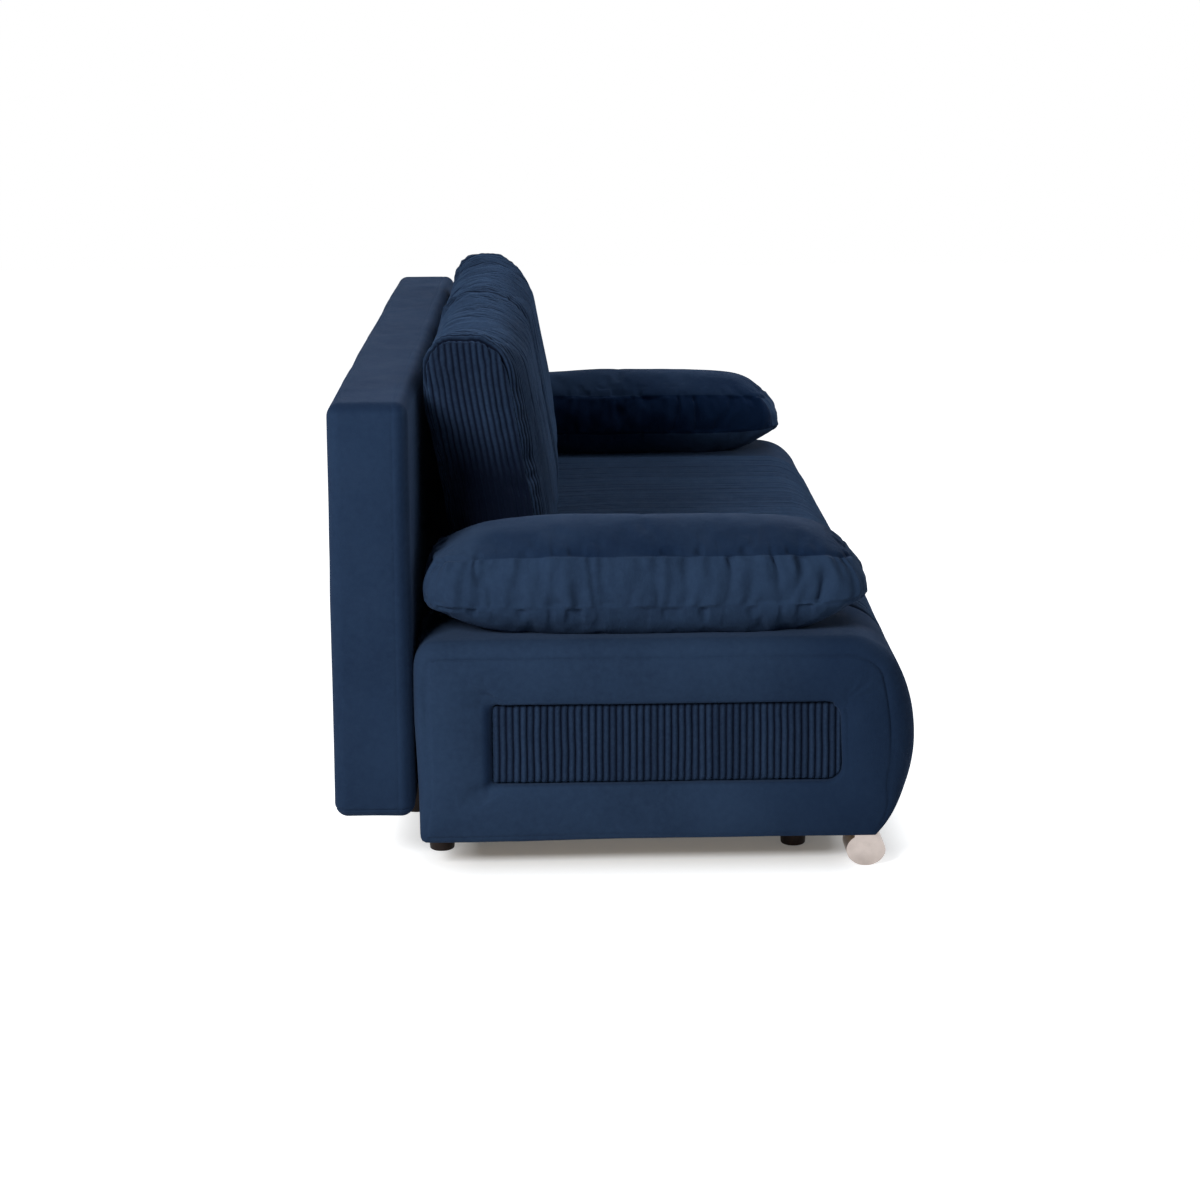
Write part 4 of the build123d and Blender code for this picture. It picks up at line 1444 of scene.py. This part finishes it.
def arm_nap(points, sides, place, low, high):
    """Painted shade on the cushion's velour: the top panel, more on its slopes and toward the front,
    and the inner band.
    """
    top = sides["top"]
    from_side = from_sides(place, low, high, [0])[top] / (high.x - low.x) * 2
    nose = ease((low.y + 0.28 - points[top, 1]) / 0.2)
    tail = ease((high.y - 0.02 - points[top, 1]) / 0.12)
    nap = np.zeros(len(points))
    nap[top] = (0.54 - 0.12 * from_side + 0.08 * nose) * tail
    nap[sides["left"]] = 0.85
    return nap * (1 + 0.16 * lumps(points, (0.05, 0.06, 0.05), 99))


def make_arm_cushions():
    """Both arm cushions from one settled form."""
    low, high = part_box("arm_cushion_right")
    sides, quads, box_place = box_grid([
        np.linspace(low.x, high.x, 37),
        np.linspace(low.y, high.y, 117),
        np.linspace(low.z, high.z, 15),
    ])
    form = arm_cushion_form(box_place, low, high)
    held = seam_points(sides, ("bottom", "top"), len(form))
    loose = np.zeros(len(form))
    for name in ("left", "right", "front", "back"):
        loose[sides[name]] = 1
    form = settle_cloth(
        form, quads, held, loose, pressure=1.2, growth=(0.012, 0.035), limit=0.008, bending=2.5,
    )
    sides, fine = finer_box(np.column_stack([form, box_place]), sides, (3, 3, 3))
    form, place = fine[:, :3], fine[:, 3:]
    quads = box_quads(sides)
    normals = mesh_normals(form, quads)
    for side, seed in (("left", 80), ("right", 90)):
        points = form + normals * band_folds(place, low, high, seed)[:, None]
        points[:, 2] = np.maximum(points[:, 2], low.z - pressed_in)
        # painted shade, kept in the mesh for the velour's colour
        nap = arm_nap(points, sides, place, low, high)
        name = f"arm_cushion_cover_{side}"
        cushion = make_piece(name, points, quads, velour, mirror=side == "left", nap=nap)
        dress(cushion, "base", "velour", 0.5, f"arm_cushion_{side}")


make_arm_cushions()

# %% [markdown]
# ## Boards, timber, steel, plastic and rubber
#
# The rigid parts come finished in shape from the mechanical model and only need their surface.
# Plywood is a pale birch face with long, faint grain. The slab's frame is sawn pine, with stronger
# grain and the odd darker streak. Rails and tubes are steel, some painted black and some zinc
# plated, and the front feet are satin metal with fine lengthwise brushing. Each finish has its own
# roughness pattern, because light on an edge shows the surface more than its colour does.

# %% Rigid finishes
def make_plywood():
    """Pale birch plywood."""
    material, tree, shader = start_material("birch_plywood")
    grain = spread_range(tree, noise(tree, 0.010, detail=6.0, stretch=(14, 1, 1)), 0.0, 1.0)
    clouds = spread_range(tree, noise(tree, 0.12, detail=2.0), 0.0, 0.5)
    tone = mix_colours(tree, grain, linear(196, 164, 120), linear(221, 194, 150))
    plug_all(tree, shader, {
        "Base Color": mix_colours(tree, clouds, tone, linear(205, 172, 128)),
        "Roughness": spread_range(tree, noise(tree, 0.02), 0.55, 0.75),
    })
    bump(tree, shader, grain, 0.0002)
    return material


def make_timber():
    """Sawn pine with long grain along X."""
    material, tree, shader = start_material("sawn_pine")
    fibres = noise(tree, 0.006, detail=7.0, roughness=0.6, stretch=(30, 1, 1))
    grain = spread_range(tree, fibres, 0.0, 1.0)
    streaks = noise(tree, 0.02, detail=2.0, stretch=(12, 1, 1))
    streaks = spread_range(tree, streaks, 0.0, 0.8, 0.5, 0.7)
    tone = mix_colours(tree, grain, linear(190, 148, 98), linear(224, 188, 138))
    plug_all(tree, shader, {
        "Base Color": mix_colours(tree, streaks, tone, linear(160, 112, 68)),
        "Roughness": spread_range(tree, noise(tree, 0.015), 0.6, 0.85),
    })
    bump(tree, shader, grain, 0.0004)
    return material


def make_metal(name, dark, light, roughness, stretch, metallic=1.0):
    """Metal with a drawn or brushed pattern."""
    material, tree, shader = start_material(name)
    brushing = noise(tree, 0.0012, detail=4.0, stretch=stretch)
    stains = spread_range(tree, noise(tree, 0.035, detail=4.0), 0.0, 1.0)
    plug_all(tree, shader, {
        "Base Color": mix_colours(tree, stains, dark, light),
        "Metallic": metallic,
        "Roughness": spread_range(tree, brushing, roughness - 0.07, roughness + 0.09),
    })
    bump(tree, shader, brushing, 0.00006)
    return material


def make_plastic(name, dark, light, roughness):
    """Moulded plastic or rubber with a fine grain and light scuffs."""
    material, tree, shader = start_material(name)
    scuffs = spread_range(tree, noise(tree, 0.018, detail=5.0), 0.0, 1.0, 0.45, 0.75)
    plug_all(tree, shader, {
        "Base Color": mix_colours(tree, scuffs, dark, light),
        "Roughness": spread_range(tree, noise(tree, 0.01), roughness - 0.08, roughness + 0.1),
        "Specular IOR Level": 0.2,
    })
    bump(tree, shader, noise(tree, 0.0012, detail=2.0), 0.00015)
    return material


finishes = {
    "plywood": make_plywood(),
    "timber": make_timber(),
    "foot_brown": make_plastic("foot_brown", linear(27, 17, 14), linear(42, 28, 24), 0.5),
    "rubber": make_plastic("black_rubber", linear(24, 24, 24), linear(38, 37, 36), 0.8),
    "satin_metal": make_metal(
        "satin_metal", linear(168, 157, 151), linear(188, 177, 171), 0.42, (30, 1, 1)),
    "zinc_steel": make_metal(
        "zinc_steel", linear(150, 152, 158), linear(188, 189, 192), 0.42, (1, 1, 14)),
    "black_steel": make_metal(
        "black_steel", linear(26, 26, 28), linear(36, 36, 38), 0.5, (10, 1, 1), metallic=0.2),
}
finished = {slot_name: 0 for slot_name in finishes}
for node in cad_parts.values():
    if node.hide_render:
        continue
    for material_slot in node.material_slots:
        slot_name = material_slot.material.name.split(".")[0]
        material_slot.material = finishes[slot_name]
        finished[slot_name] += 1
print("rigid parts by finish:", finished)
